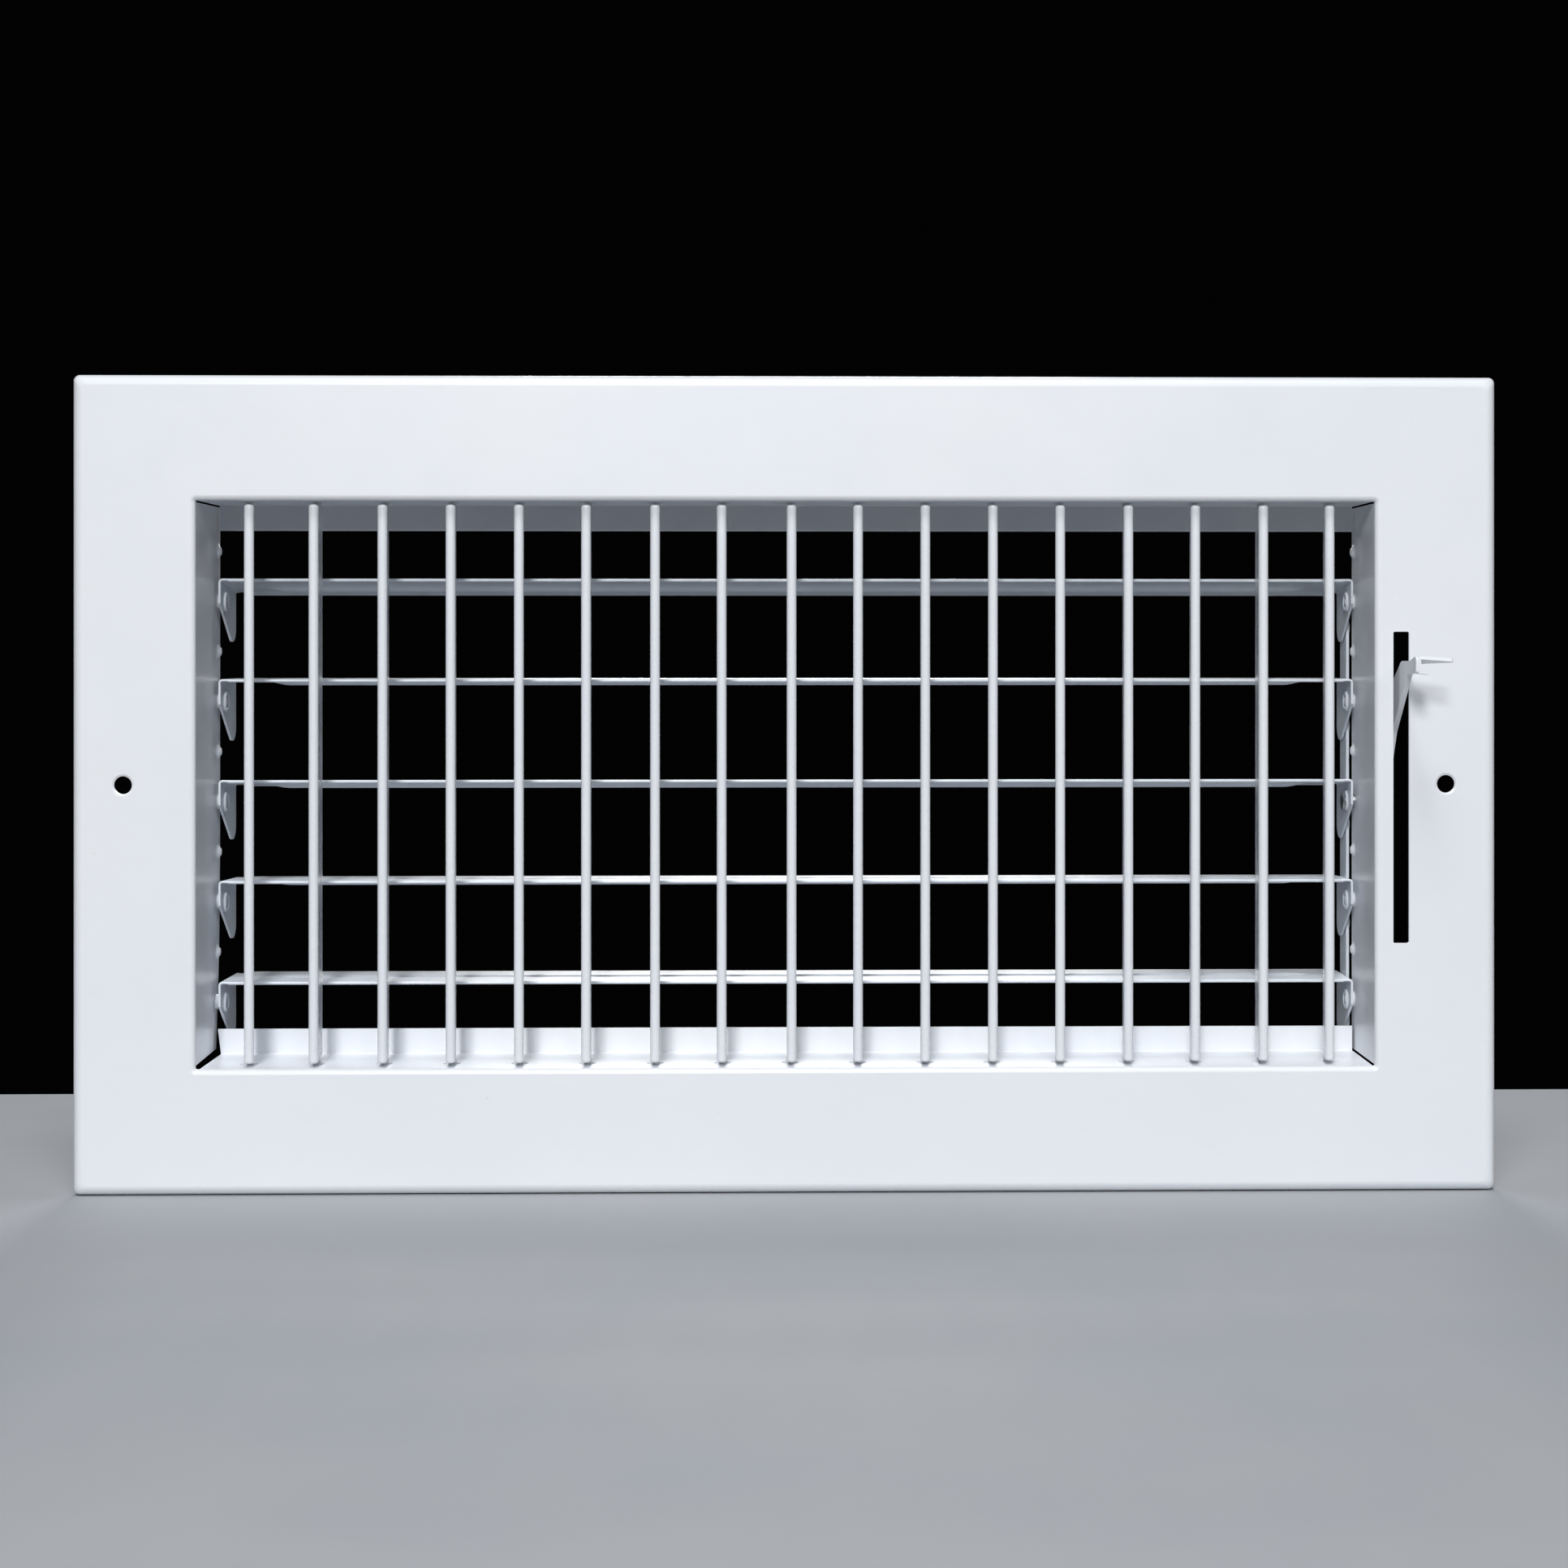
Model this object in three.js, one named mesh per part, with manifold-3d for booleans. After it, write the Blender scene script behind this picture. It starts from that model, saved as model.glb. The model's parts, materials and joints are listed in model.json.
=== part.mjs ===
// Louvred air grille: a stamped steel face frame with seventeen separately turned upright vanes,
// and behind them a five-blade damper worked by one lever through a slot in the right border.
//
// Millimetres, +X right, +Y into the wall, +Z up. The origin is the middle of the wall plane,
// which the rear edge of the frame's turned-back rim rests on.
import * as THREE from "three";
import { mergeVertices } from "three/addons/utils/BufferGeometryUtils.js";
import Module from "manifold-3d";

// ---------- driving dimensions ----------

// Face frame, pressed from one sheet.
const OPENING_WIDTH = 290;
const OPENING_HEIGHT = 139.4;
const SIDE_BORDER = 30; // opening to outer edge, left and right
const END_BORDER = 30.8; // opening to outer edge, top and bottom
const SHEET = 0.8;
const RIM_DEPTH = 6; // how far the face stands off the wall
const RIM_BEND = 2.6; // outside radius of the rim's bend
const PLAN_CORNER = 1.4; // rounding of the frame's four corners, seen from the front
const MOUTH_BEND = 1.4; // radius where the face turns back into the opening
const LIP_HEIGHT = 6.4; // inward lips on the top and bottom collar walls
const CORNER_GAP = 0.4; // the collar's bent walls don't quite meet at their corners
const OPEN_CORNER_GAP = 0.9; // the bottom left corner stands further open
const LIP_END_GAP = 0.6;

// Mounting holes, one in each side border.
const MOUNT_HOLE_RADIUS = 2.2;
const MOUNT_DIMPLE_RADIUS = 2.7;
const MOUNT_DIMPLE_DEPTH = 0.25;
const MOUNT_HOLE_INSET = 12.5; // hole centre to outer edge

// Vanes.
const VANE_COUNT = 17;
const VANE_EDGE = 10.7; // first and last pin to the collar's side wall, with the row in the middle
const VANE_ROW_SHIFT = 0.6; // the row of pins is punched a little to the right of the middle
const VANE_FRONT = 7.2; // nose to pin
const VANE_REAR = 7.8; // pin to tail
const VANE_THICKNESS = 2.4;
const VANE_TAIL_THICKNESS = 0.8;
const VANE_NOSE_SETBACK = 2.5; // vane nose behind the face
const VANE_TOP_GAP = 0.8;
const VANE_BOTTOM_GAP = 1;
const VANE_PIN_RADIUS = 1.1;
const VANE_PIN_CLEARANCE = 0.35;
const VANE_PIN_PROUD = 0.6; // pin past the outside of the collar
const PIN_SOCKET_RADIUS = 2.2; // mouth of the tapered socket that each pin sits in

// How each vane happens to be turned, in degrees: positive swings its tail to the right.
const VANE_TURNS = [-11.5, -2.5, -3.5, -3, -3, -0.5, -2.5, 1, -3.5, 0, 1.5, 2, 3, 2, 3.5, 2.5, 5.5];

// Damper blades.
const DAMPER_COUNT = 5;
const TOP_PIVOT_DROP = 24.4; // top pivot below the collar's ceiling
const BOTTOM_PIVOT_RISE = 13.2; // bottom pivot above the collar's floor
const BLADE_SHEET = 0.6;
const BLADE_FRONT = 6.2; // front edge ahead of the pivot
const BLADE_REAR = 16.4; // rear edge behind the pivot
const BLADE_RISE = 5.5; // middle of the sheet above the pivot
const BLADE_TO_VANE = 1.2; // least gap between a turning blade and the vanes' tails
const TAB_CLEARANCE = 1.3; // tab to the collar's side wall
const TAB_REAR = 12.8; // tab's rear edge behind the pivot
const TAB_SHOULDER = 0.5; // where the tab's front edge starts to slant, below the pivot
const TAB_TIP_RADIUS = 3.6;
const RELIEF = 2.6; // notch inboard of each tab, behind it
const TAB_COLLAR_WALL = 0.65; // raised ring round the tab's hole
const TAB_COLLAR_HEIGHT = 0.5;
const BEAD_WIDTH = 6; // stiffening bead pressed down along each blade
const BEAD_DEPTH = 1.1;
const BEAD_END_MARGIN = 9; // bead end to tab
const BEAD_BEHIND_PIVOT = 5.6;

// How far each blade's sheet is out of level with its tabs, in degrees: negative drops the rear.
const BLADE_DROOPS = [-8.1, 0, -4.8, -1.8, 0];

// Conical pivots pressed inward from the collar's side walls.
const PIVOT_BASE_RADIUS = 1.95;
const PIVOT_TIP_RADIUS = 1;
const PIVOT_HEIGHT = 2.4;
const SPARE_PIVOT_HEIGHT = 0.9; // low enough for the blades' tabs to sweep past
const PIVOT_WALL = 0.5; // sheet left at the tip of a pressed pivot
const PIVOT_CLEARANCE = 0.36; // round the pivot where it passes through a tab
const PIVOT_TO_WALL_EDGE = 2.5; // pivot axis to the rear edge of the side wall
const PIVOT_BEHIND_LIP = 0.2;

// Link bar and the tab bosses that turn in it.
const LINK_BEHIND_PIVOT = 9.2;
const LINK_BELOW_PIVOT = 6.6;
const LINK_BAR_WIDTH = 8.2;
const LINK_BAR_SHEET = 0.8;
const LINK_BAR_GAP = 0.35;
const LINK_BOSS_RADIUS = 1.3;
const LINK_BOSS_CLEARANCE = 0.35;
const LINK_HEAD_RADIUS = 2;
const LINK_HEAD_HEIGHT = 0.45;
const SPARE_BOSS_HEIGHT = 0.6;

// Lever, its slot and the axle that carries it through the collar wall.
const LEVER_OUTBOARD = 6.4; // lever's mid-plane outside the collar's inner wall face
const LEVER_SHEET = 1.3;
const LEVER_ANGLE = 47.5; // where the lever crosses the face, seen from its pivot
const LEVER_HUB_RADIUS = 6.5;
const HUB_START_ANGLE = 213; // where the arm's lower edge leaves the hub
const HUB_END_ANGLE = 402; // where its upper edge does
const SLOT_WIDTH = 3.9;
const SLOT_TOP_ANGLE = 57.8;
const SLOT_BOTTOM_ANGLE = 51.1;
const SLOT_CORNER = 0.4;
const GRIP_LENGTH = 8.4; // finger flange, outward from the lever
const GRIP_TIP = 1.4; // width of the finger flange at its tip
const GRIP_SHEET = 0.8;
const GRIP_TILT = 10; // front of the flange up
const GRIP_DROOP = 4; // tip of the flange down
const HEAD_LENGTH = 7.5;
const HEAD_FOOT = 2.9; // short lower flange of the lever's head
const HEAD_FOOT_SHEET = 1;
const HEAD_FOOT_TILT = 8;

// Lever's outline: how far ahead of the face, and how far above the place where it crosses the face.
const ARM_TOP = [-8.4, 0.5];
const KNEE_START = [1.2, 5.5];
const KNEE = [3, 6.3];
const KNEE_END = [6, 6.3];
const HEAD_TOP = [12, 6.3];
const HEAD_BOTTOM = [12, 3.4];
const ARM_ELBOW = [10, 3.2];
const ARM_BOTTOM = [-8, -11.7];

// Axle.
const AXLE_SHOULDER_RADIUS = 2.6;
const AXLE_HEAD_RADIUS = 2.5;
const AXLE_HEAD_HEIGHT = 0.7;
const RUNNING_GAP = 0.3;

// ---------- places that follow from them ----------

const HALF_OPENING_WIDTH = OPENING_WIDTH / 2;
const HALF_OPENING_HEIGHT = OPENING_HEIGHT / 2;
const FACE_WIDTH = OPENING_WIDTH + 2 * SIDE_BORDER;
const FACE_HEIGHT = OPENING_HEIGHT + 2 * END_BORDER;
const VANE_DEPTH = VANE_NOSE_SETBACK + VANE_FRONT;
const VANE_PITCH = (OPENING_WIDTH - 2 * VANE_EDGE) / (VANE_COUNT - 1);
const BLADE_SWEEP = Math.hypot(BLADE_FRONT, BLADE_RISE + BLADE_SHEET / 2);
const PIVOT_DEPTH = VANE_DEPTH + VANE_REAR + BLADE_TO_VANE + BLADE_SWEEP;
const COLLAR_DEPTH = PIVOT_DEPTH - PIVOT_BEHIND_LIP;
const SIDE_WALL_DEPTH = PIVOT_DEPTH + PIVOT_TO_WALL_EDGE;
const TOP_PIVOT_Z = HALF_OPENING_HEIGHT - TOP_PIVOT_DROP;
const BOTTOM_PIVOT_Z = BOTTOM_PIVOT_RISE - HALF_OPENING_HEIGHT;
const DAMPER_PITCH = (TOP_PIVOT_Z - BOTTOM_PIVOT_Z) / (DAMPER_COUNT - 1);
const LEVER_BLADE = Math.floor(DAMPER_COUNT / 2);
const LEVER_PIVOT_Z = TOP_PIVOT_Z - LEVER_BLADE * DAMPER_PITCH;
const TAB_OUTER_X = HALF_OPENING_WIDTH - TAB_CLEARANCE;
const LINK_BAR_X = TAB_OUTER_X + LINK_BAR_GAP;
const PIVOT_TAPER = (PIVOT_BASE_RADIUS - PIVOT_TIP_RADIUS) / PIVOT_HEIGHT;
const TAB_HOLE_RADIUS = PIVOT_BASE_RADIUS - PIVOT_TAPER * TAB_CLEARANCE + PIVOT_CLEARANCE;
const AXLE_RADIUS = TAB_HOLE_RADIUS - RUNNING_GAP;
const LEVER_X = HALF_OPENING_WIDTH + LEVER_OUTBOARD;
const AXLE_HOLE_RADIUS = AXLE_RADIUS + RUNNING_GAP;
const ROUND = 24; // sides of a hole in the face
const FINE = 12; // sides of a round hole behind it
const COARSE = 10; // sides of a small pin or cone
const OVERCUT = 0.2; // how far a tapered cutter stands past the sheet it cuts

// Row-frame Y of a place that is a given depth behind the front of the face.
const atDepth = (depth) => depth - RIM_DEPTH;
const radians = THREE.MathUtils.degToRad;
const inOrder = (a, b) => [Math.min(a, b), Math.max(a, b)];

// ---------- materials ----------

const enamel = { color: 0xe3e6eb, roughness: 0.38, metalness: 0 };
const faceEnamel = () => new THREE.MeshStandardMaterial(enamel);
const vaneEnamel = () => new THREE.MeshStandardMaterial({ ...enamel, roughness: 0.34 });
const damperEnamel = () => new THREE.MeshStandardMaterial({ ...enamel, color: 0xd9dde2, roughness: 0.4 });
const bareSteel = () => new THREE.MeshStandardMaterial({ color: 0x9fa3a8, roughness: 0.35, metalness: 1 });

// ---------- solids ----------

const wasm = await Module();
wasm.setup();

function solidOf(geometry) {
  const bare = geometry.clone();
  bare.deleteAttribute("normal");
  bare.deleteAttribute("uv");
  const merged = mergeVertices(bare);
  return new wasm.Manifold(
    new wasm.Mesh({
      numProp: 3,
      vertProperties: merged.getAttribute("position").array,
      triVerts: new Uint32Array(merged.index.array),
    }),
  );
}

function meshOf(name, solid, material) {
  const made = solid.getMesh();
  const geometry = new THREE.BufferGeometry();
  geometry.setAttribute("position", new THREE.BufferAttribute(made.vertProperties, 3));
  geometry.setIndex(new THREE.BufferAttribute(made.triVerts, 1));
  geometry.computeVertexNormals();
  const mesh = new THREE.Mesh(geometry, material);
  mesh.name = name;
  return mesh;
}

const joined = (solids) => solids.reduce((whole, next) => whole.add(next));

function extruded(shape, depth, options) {
  return new THREE.ExtrudeGeometry(shape, { depth, bevelEnabled: false, curveSegments: 4, ...options });
}

// Turn an extrusion so that its outline lies in the plane named by two row axes.
const YZ_PLANE = new THREE.Matrix4().makeBasis(
  new THREE.Vector3(0, 1, 0),
  new THREE.Vector3(0, 0, 1),
  new THREE.Vector3(1, 0, 0),
);
const XZ_PLANE = new THREE.Matrix4().makeBasis(
  new THREE.Vector3(1, 0, 0),
  new THREE.Vector3(0, 0, 1),
  new THREE.Vector3(0, -1, 0),
);

// An outline in Y and Z, as thick as the span from x0 to x1.
function alongX(shape, x0, x1) {
  return solidOf(extruded(shape, x1 - x0).applyMatrix4(YZ_PLANE).translate(x0, 0, 0));
}

// An outline in X and Z that runs from one depth behind the face to another.
function alongDepth(shape, nearDepth, farDepth) {
  const geometry = extruded(shape, farDepth - nearDepth).applyMatrix4(XZ_PLANE);
  return solidOf(geometry.translate(0, atDepth(farDepth), 0));
}

function block(x0, x1, nearDepth, farDepth, z0, z1) {
  const geometry = new THREE.BoxGeometry(x1 - x0, farDepth - nearDepth, z1 - z0);
  return solidOf(geometry.translate((x0 + x1) / 2, atDepth((nearDepth + farDepth) / 2), (z0 + z1) / 2));
}

// A turned solid from radius and length pairs, its axis along Y before it is laid over.
function turned(profile, sides) {
  const points = profile.map(([radius, length]) => new THREE.Vector2(radius, length));
  return new THREE.LatheGeometry(points, sides);
}
const turnedOnX = (profile, sides, x, y, z) => {
  const geometry = turned(profile, sides).rotateZ(-Math.PI / 2);
  return solidOf(geometry.translate(x, y, z));
};
const turnedOnZ = (profile, sides, x, y, z) => {
  const geometry = turned(profile, sides).rotateX(Math.PI / 2);
  return solidOf(geometry.translate(x, y, z));
};
const turnedOnY = (profile, sides, x, y, z) => solidOf(turned(profile, sides).translate(x, y, z));

// Radius and length pairs of a plain round bar.
const bar = (radius, start, end) => [
  [0, start],
  [radius, start],
  [radius, end],
  [0, end],
];

function rectangle(width, height, corner = 0) {
  const x = width / 2;
  const y = height / 2;
  const shape = new THREE.Shape();
  if (corner === 0) {
    shape.moveTo(-x, -y).lineTo(x, -y).lineTo(x, y).lineTo(-x, y);
    return shape;
  }
  shape.moveTo(-x + corner, -y).lineTo(x - corner, -y);
  shape.absarc(x - corner, -y + corner, corner, -Math.PI / 2, 0);
  shape.lineTo(x, y - corner);
  shape.absarc(x - corner, y - corner, corner, 0, Math.PI / 2);
  shape.lineTo(-x + corner, y);
  shape.absarc(-x + corner, y - corner, corner, Math.PI / 2, Math.PI);
  shape.lineTo(-x, -y + corner);
  shape.absarc(-x + corner, -y + corner, corner, Math.PI, 1.5 * Math.PI);
  return shape;
}

const polygon = (points) => new THREE.Shape(points.map(([x, y]) => new THREE.Vector2(x, y)));

// ---------- face frame ----------

// A block with its front edges rounded, whose front is at the given depth.
function roundedBlock(width, height, bend, frontDepth, rearDepth) {
  const outline = rectangle(width - 2 * bend, height - 2 * bend);
  const geometry = extruded(outline, rearDepth - frontDepth, {
    bevelEnabled: true,
    bevelSize: bend,
    bevelThickness: bend,
    bevelSegments: 4,
  });
  return solidOf(geometry.applyMatrix4(XZ_PLANE).translate(0, atDepth(rearDepth + bend), 0));
}

// The shallow pan: the flat face and its rim, turned back to the wall.
function facePan() {
  const outside = roundedBlock(FACE_WIDTH, FACE_HEIGHT, RIM_BEND, 0, RIM_DEPTH);
  const inside = roundedBlock(
    FACE_WIDTH - 2 * SHEET,
    FACE_HEIGHT - 2 * SHEET,
    RIM_BEND - SHEET,
    SHEET,
    RIM_DEPTH + RIM_BEND,
  );
  const plan = alongDepth(rectangle(FACE_WIDTH, FACE_HEIGHT, PLAN_CORNER), 0, RIM_DEPTH);
  return outside.subtract(inside).intersect(plan);
}

// The four walls bent back from the opening, with the inward lips of the top and bottom ones.
function collarWalls() {
  const outerX = HALF_OPENING_WIDTH + SHEET;
  const outerZ = HALF_OPENING_HEIGHT + SHEET;
  const lipEnd = HALF_OPENING_WIDTH - LIP_END_GAP;
  const lipFront = COLLAR_DEPTH - SHEET;
  const sideWall = (sign) => {
    const [x0, x1] = inOrder(sign * HALF_OPENING_WIDTH, sign * outerX);
    return block(x0, x1, 0, SIDE_WALL_DEPTH, -outerZ, outerZ);
  };
  const endWall = (sign) => {
    const [z0, z1] = inOrder(sign * HALF_OPENING_HEIGHT, sign * outerZ);
    const [lip0, lip1] = inOrder(sign * (HALF_OPENING_HEIGHT - LIP_HEIGHT), sign * outerZ);
    return block(-outerX, outerX, 0, COLLAR_DEPTH, z0, z1).add(
      block(-lipEnd, lipEnd, lipFront, COLLAR_DEPTH, lip0, lip1),
    );
  };
  return joined([sideWall(-1), sideWall(1), endWall(-1), endWall(1)]);
}

// Space in front of the rounded edge where the face turns back into the opening.
function mouthRounding() {
  const rounded = rectangle(FACE_WIDTH, FACE_HEIGHT);
  rounded.holes.push(rectangle(OPENING_WIDTH + 2 * MOUTH_BEND, OPENING_HEIGHT + 2 * MOUTH_BEND));
  const geometry = extruded(rounded, SHEET, {
    bevelEnabled: true,
    bevelSize: MOUTH_BEND,
    bevelThickness: MOUTH_BEND,
    bevelSegments: 4,
  });
  const kept = solidOf(geometry.applyMatrix4(XZ_PLANE).translate(0, atDepth(SHEET + MOUTH_BEND), 0));
  const mouth = rectangle(OPENING_WIDTH + 2 * MOUTH_BEND, OPENING_HEIGHT + 2 * MOUTH_BEND);
  return alongDepth(mouth, -1, MOUTH_BEND).subtract(kept);
}

// Notches that part the collar's walls at its four corners.
function collarCorners() {
  const beyond = SHEET + 1;
  const notch = (signX, signZ) => {
    const gap = signX < 0 && signZ < 0 ? OPEN_CORNER_GAP : CORNER_GAP;
    const [x0, x1] = inOrder(signX * (HALF_OPENING_WIDTH - gap), signX * (HALF_OPENING_WIDTH + beyond));
    const [z0, z1] = inOrder(signZ * (HALF_OPENING_HEIGHT - gap), signZ * (HALF_OPENING_HEIGHT + beyond));
    return block(x0, x1, MOUTH_BEND, SIDE_WALL_DEPTH + 1, z0, z1);
  };
  return joined([notch(-1, -1), notch(-1, 1), notch(1, -1), notch(1, 1)]);
}

// Tapered sockets through the collar's top and bottom walls, one at each end of every vane.
function vaneSockets() {
  const narrow = VANE_PIN_RADIUS + VANE_PIN_CLEARANCE;
  const taper = (PIN_SOCKET_RADIUS - narrow) / SHEET;
  const profile = [
    [0, -OVERCUT],
    [PIN_SOCKET_RADIUS + taper * OVERCUT, -OVERCUT],
    [narrow - taper * OVERCUT, SHEET + OVERCUT],
    [0, SHEET + OVERCUT],
  ];
  const sockets = joined(
    vanePlaces().map((x) => turnedOnZ(profile, FINE, x, atDepth(VANE_DEPTH), HALF_OPENING_HEIGHT)),
  );
  return sockets.add(sockets.mirror([0, 0, 1]));
}

// Heights of the pivots in use, and of the spare ones half a pitch above each.
const pivotHeights = () => Array.from({ length: DAMPER_COUNT }, (_, i) => TOP_PIVOT_Z - i * DAMPER_PITCH);
const sparePivotHeights = () => pivotHeights().map((z) => z + DAMPER_PITCH / 2);

function vanePlaces() {
  const middle = (VANE_COUNT - 1) / 2;
  return Array.from({ length: VANE_COUNT }, (_, i) => VANE_ROW_SHIFT + VANE_PITCH * (i - middle));
}

// One conical pivot on the left wall, and the hollow that pressing it leaves outside.
function pivotCone([z, height]) {
  const cone = [
    [0, -SHEET / 2],
    [PIVOT_BASE_RADIUS, -SHEET / 2],
    [PIVOT_BASE_RADIUS, 0],
    [PIVOT_TIP_RADIUS, height],
    [0, height],
  ];
  return turnedOnX(cone, COARSE, -HALF_OPENING_WIDTH, atDepth(PIVOT_DEPTH), z);
}
function pivotHollow([z, height]) {
  const hollow = [
    [0, -SHEET - 1],
    [PIVOT_BASE_RADIUS - PIVOT_WALL, -SHEET - 1],
    [PIVOT_BASE_RADIUS - PIVOT_WALL, -SHEET],
    [PIVOT_TIP_RADIUS - PIVOT_WALL, height - PIVOT_WALL],
    [0, height - PIVOT_WALL],
  ];
  return turnedOnX(hollow, COARSE, -HALF_OPENING_WIDTH, atDepth(PIVOT_DEPTH), z);
}

function mountHole(x) {
  const mouth = MOUNT_DIMPLE_RADIUS;
  const slope = (mouth - MOUNT_HOLE_RADIUS) / MOUNT_DIMPLE_DEPTH;
  const profile = [
    [0, -OVERCUT],
    [mouth + slope * OVERCUT, -OVERCUT],
    [MOUNT_HOLE_RADIUS, MOUNT_DIMPLE_DEPTH],
    [MOUNT_HOLE_RADIUS, SHEET + OVERCUT],
    [0, SHEET + OVERCUT],
  ];
  return turnedOnY(profile, ROUND, x, atDepth(0), 0);
}

function leverSlot() {
  const top = LEVER_PIVOT_Z + PIVOT_DEPTH * Math.tan(radians(SLOT_TOP_ANGLE));
  const bottom = LEVER_PIVOT_Z - PIVOT_DEPTH * Math.tan(radians(SLOT_BOTTOM_ANGLE));
  const slot = alongDepth(rectangle(SLOT_WIDTH, top - bottom, SLOT_CORNER), -1, SHEET + 1);
  return slot.translate([LEVER_X, 0, (top + bottom) / 2]);
}

function faceFrame() {
  const mountX = FACE_WIDTH / 2 - MOUNT_HOLE_INSET;
  const throat = alongDepth(rectangle(OPENING_WIDTH, OPENING_HEIGHT), -1, COLLAR_DEPTH - SHEET);
  const leftPivots = [
    ...pivotHeights().map((z) => [z, PIVOT_HEIGHT]),
    ...sparePivotHeights().map((z) => [z, SPARE_PIVOT_HEIGHT]),
  ];
  const rightPivots = leftPivots.filter((_, i) => i !== LEVER_BLADE);
  const mirrored = (solids) => solids.map((solid) => solid.mirror([1, 0, 0]));
  const cones = [...leftPivots.map(pivotCone), ...mirrored(rightPivots.map(pivotCone))];
  const hollows = [...leftPivots.map(pivotHollow), ...mirrored(rightPivots.map(pivotHollow))];
  const axleHole = turnedOnX(
    bar(AXLE_HOLE_RADIUS, -1, SHEET + 1),
    FINE,
    HALF_OPENING_WIDTH,
    atDepth(PIVOT_DEPTH),
    LEVER_PIVOT_Z,
  );
  const pan = facePan().subtract(throat);
  return joined([pan, collarWalls(), ...cones])
    .subtract(joined([mouthRounding(), collarCorners(), vaneSockets(), ...hollows]))
    .subtract(joined([axleHole, mountHole(-mountX), mountHole(mountX), leverSlot()]));
}

// ---------- vanes ----------

// The vane's section: a round nose, flat sides that taper to a thin round tail.
function vaneSection() {
  const nose = VANE_THICKNESS / 2;
  const tail = VANE_TAIL_THICKNESS / 2;
  const section = new THREE.Shape();
  section.absarc(0, nose - VANE_FRONT, nose, Math.PI, 2 * Math.PI);
  section.absarc(0, VANE_REAR - tail, tail, 0, Math.PI);
  return section;
}

function vane() {
  const top = HALF_OPENING_HEIGHT - VANE_TOP_GAP;
  const bottom = -HALF_OPENING_HEIGHT + VANE_BOTTOM_GAP;
  const pinEnd = HALF_OPENING_HEIGHT + SHEET + VANE_PIN_PROUD;
  const body = solidOf(extruded(vaneSection(), top - bottom, { curveSegments: 5 }).translate(0, 0, bottom));
  const pin = turnedOnZ(bar(VANE_PIN_RADIUS, -pinEnd, pinEnd), COARSE, 0, 0, 0);
  return body.add(pin);
}

// ---------- damper blades ----------

// A point on the blade's sheet, so far behind the pivot: the sheet droops from its front edge.
function onSheet(behind, droop, offset = 0) {
  return [behind, BLADE_RISE + offset + (behind + BLADE_FRONT) * Math.tan(radians(droop))];
}

// The angle, seen from a circle's centre, at which a straight edge from a point touches the circle.
function tangentAngle([y, z], [centreY, centreZ], radius) {
  const away = Math.hypot(centreY - y, centreZ - z);
  return Math.atan2(z - centreZ, y - centreY) + Math.acos(radius / away);
}

// The end tab's outline: square to the rear, slanting at the front down to a round tip.
function tabShape(droop) {
  const tip = [LINK_BEHIND_PIVOT, -LINK_BELOW_PIVOT];
  const shoulder = [-BLADE_FRONT, -TAB_SHOULDER];
  const start = tangentAngle(shoulder, tip, TAB_TIP_RADIUS);
  const half = BLADE_SHEET / 2;
  const shape = new THREE.Shape();
  shape.moveTo(...onSheet(TAB_REAR, droop, half));
  shape.lineTo(...onSheet(-BLADE_FRONT, droop, half));
  shape.lineTo(...shoulder);
  shape.absarc(...tip, TAB_TIP_RADIUS, start, 2 * Math.PI);
  return shape;
}

// The sheet between the tabs, narrower behind the tabs, with a bead pressed down along it.
function bladeSheet(droop) {
  const half = BLADE_SHEET / 2;
  const section = (from, to) =>
    polygon([
      onSheet(from, droop, -half),
      onSheet(to, droop, -half),
      onSheet(to, droop, half),
      onSheet(from, droop, half),
    ]);
  const front = alongX(section(-BLADE_FRONT, TAB_REAR), -TAB_OUTER_X, TAB_OUTER_X);
  const rear = alongX(section(TAB_REAR - 1, BLADE_REAR), RELIEF - TAB_OUTER_X, TAB_OUTER_X - RELIEF);
  const beadEnd = TAB_OUTER_X - BEAD_END_MARGIN;
  const beadSection = (width, level, floor) =>
    polygon(
      [
        [-width / 2, level],
        [-width / 4, floor],
        [width / 4, floor],
        [width / 2, level],
      ].map(([across, offset]) => onSheet(BEAD_BEHIND_PIVOT + across, droop, offset)),
    );
  const ridge = alongX(beadSection(BEAD_WIDTH, 0, -half - BEAD_DEPTH), -beadEnd, beadEnd);
  const grooveEnd = beadEnd - BLADE_SHEET;
  const grooveSection = beadSection(BEAD_WIDTH - BLADE_SHEET, half + OVERCUT, half - BEAD_DEPTH);
  const groove = alongX(grooveSection, -grooveEnd, grooveEnd);
  return joined([front, rear, ridge]).subtract(groove);
}

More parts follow.
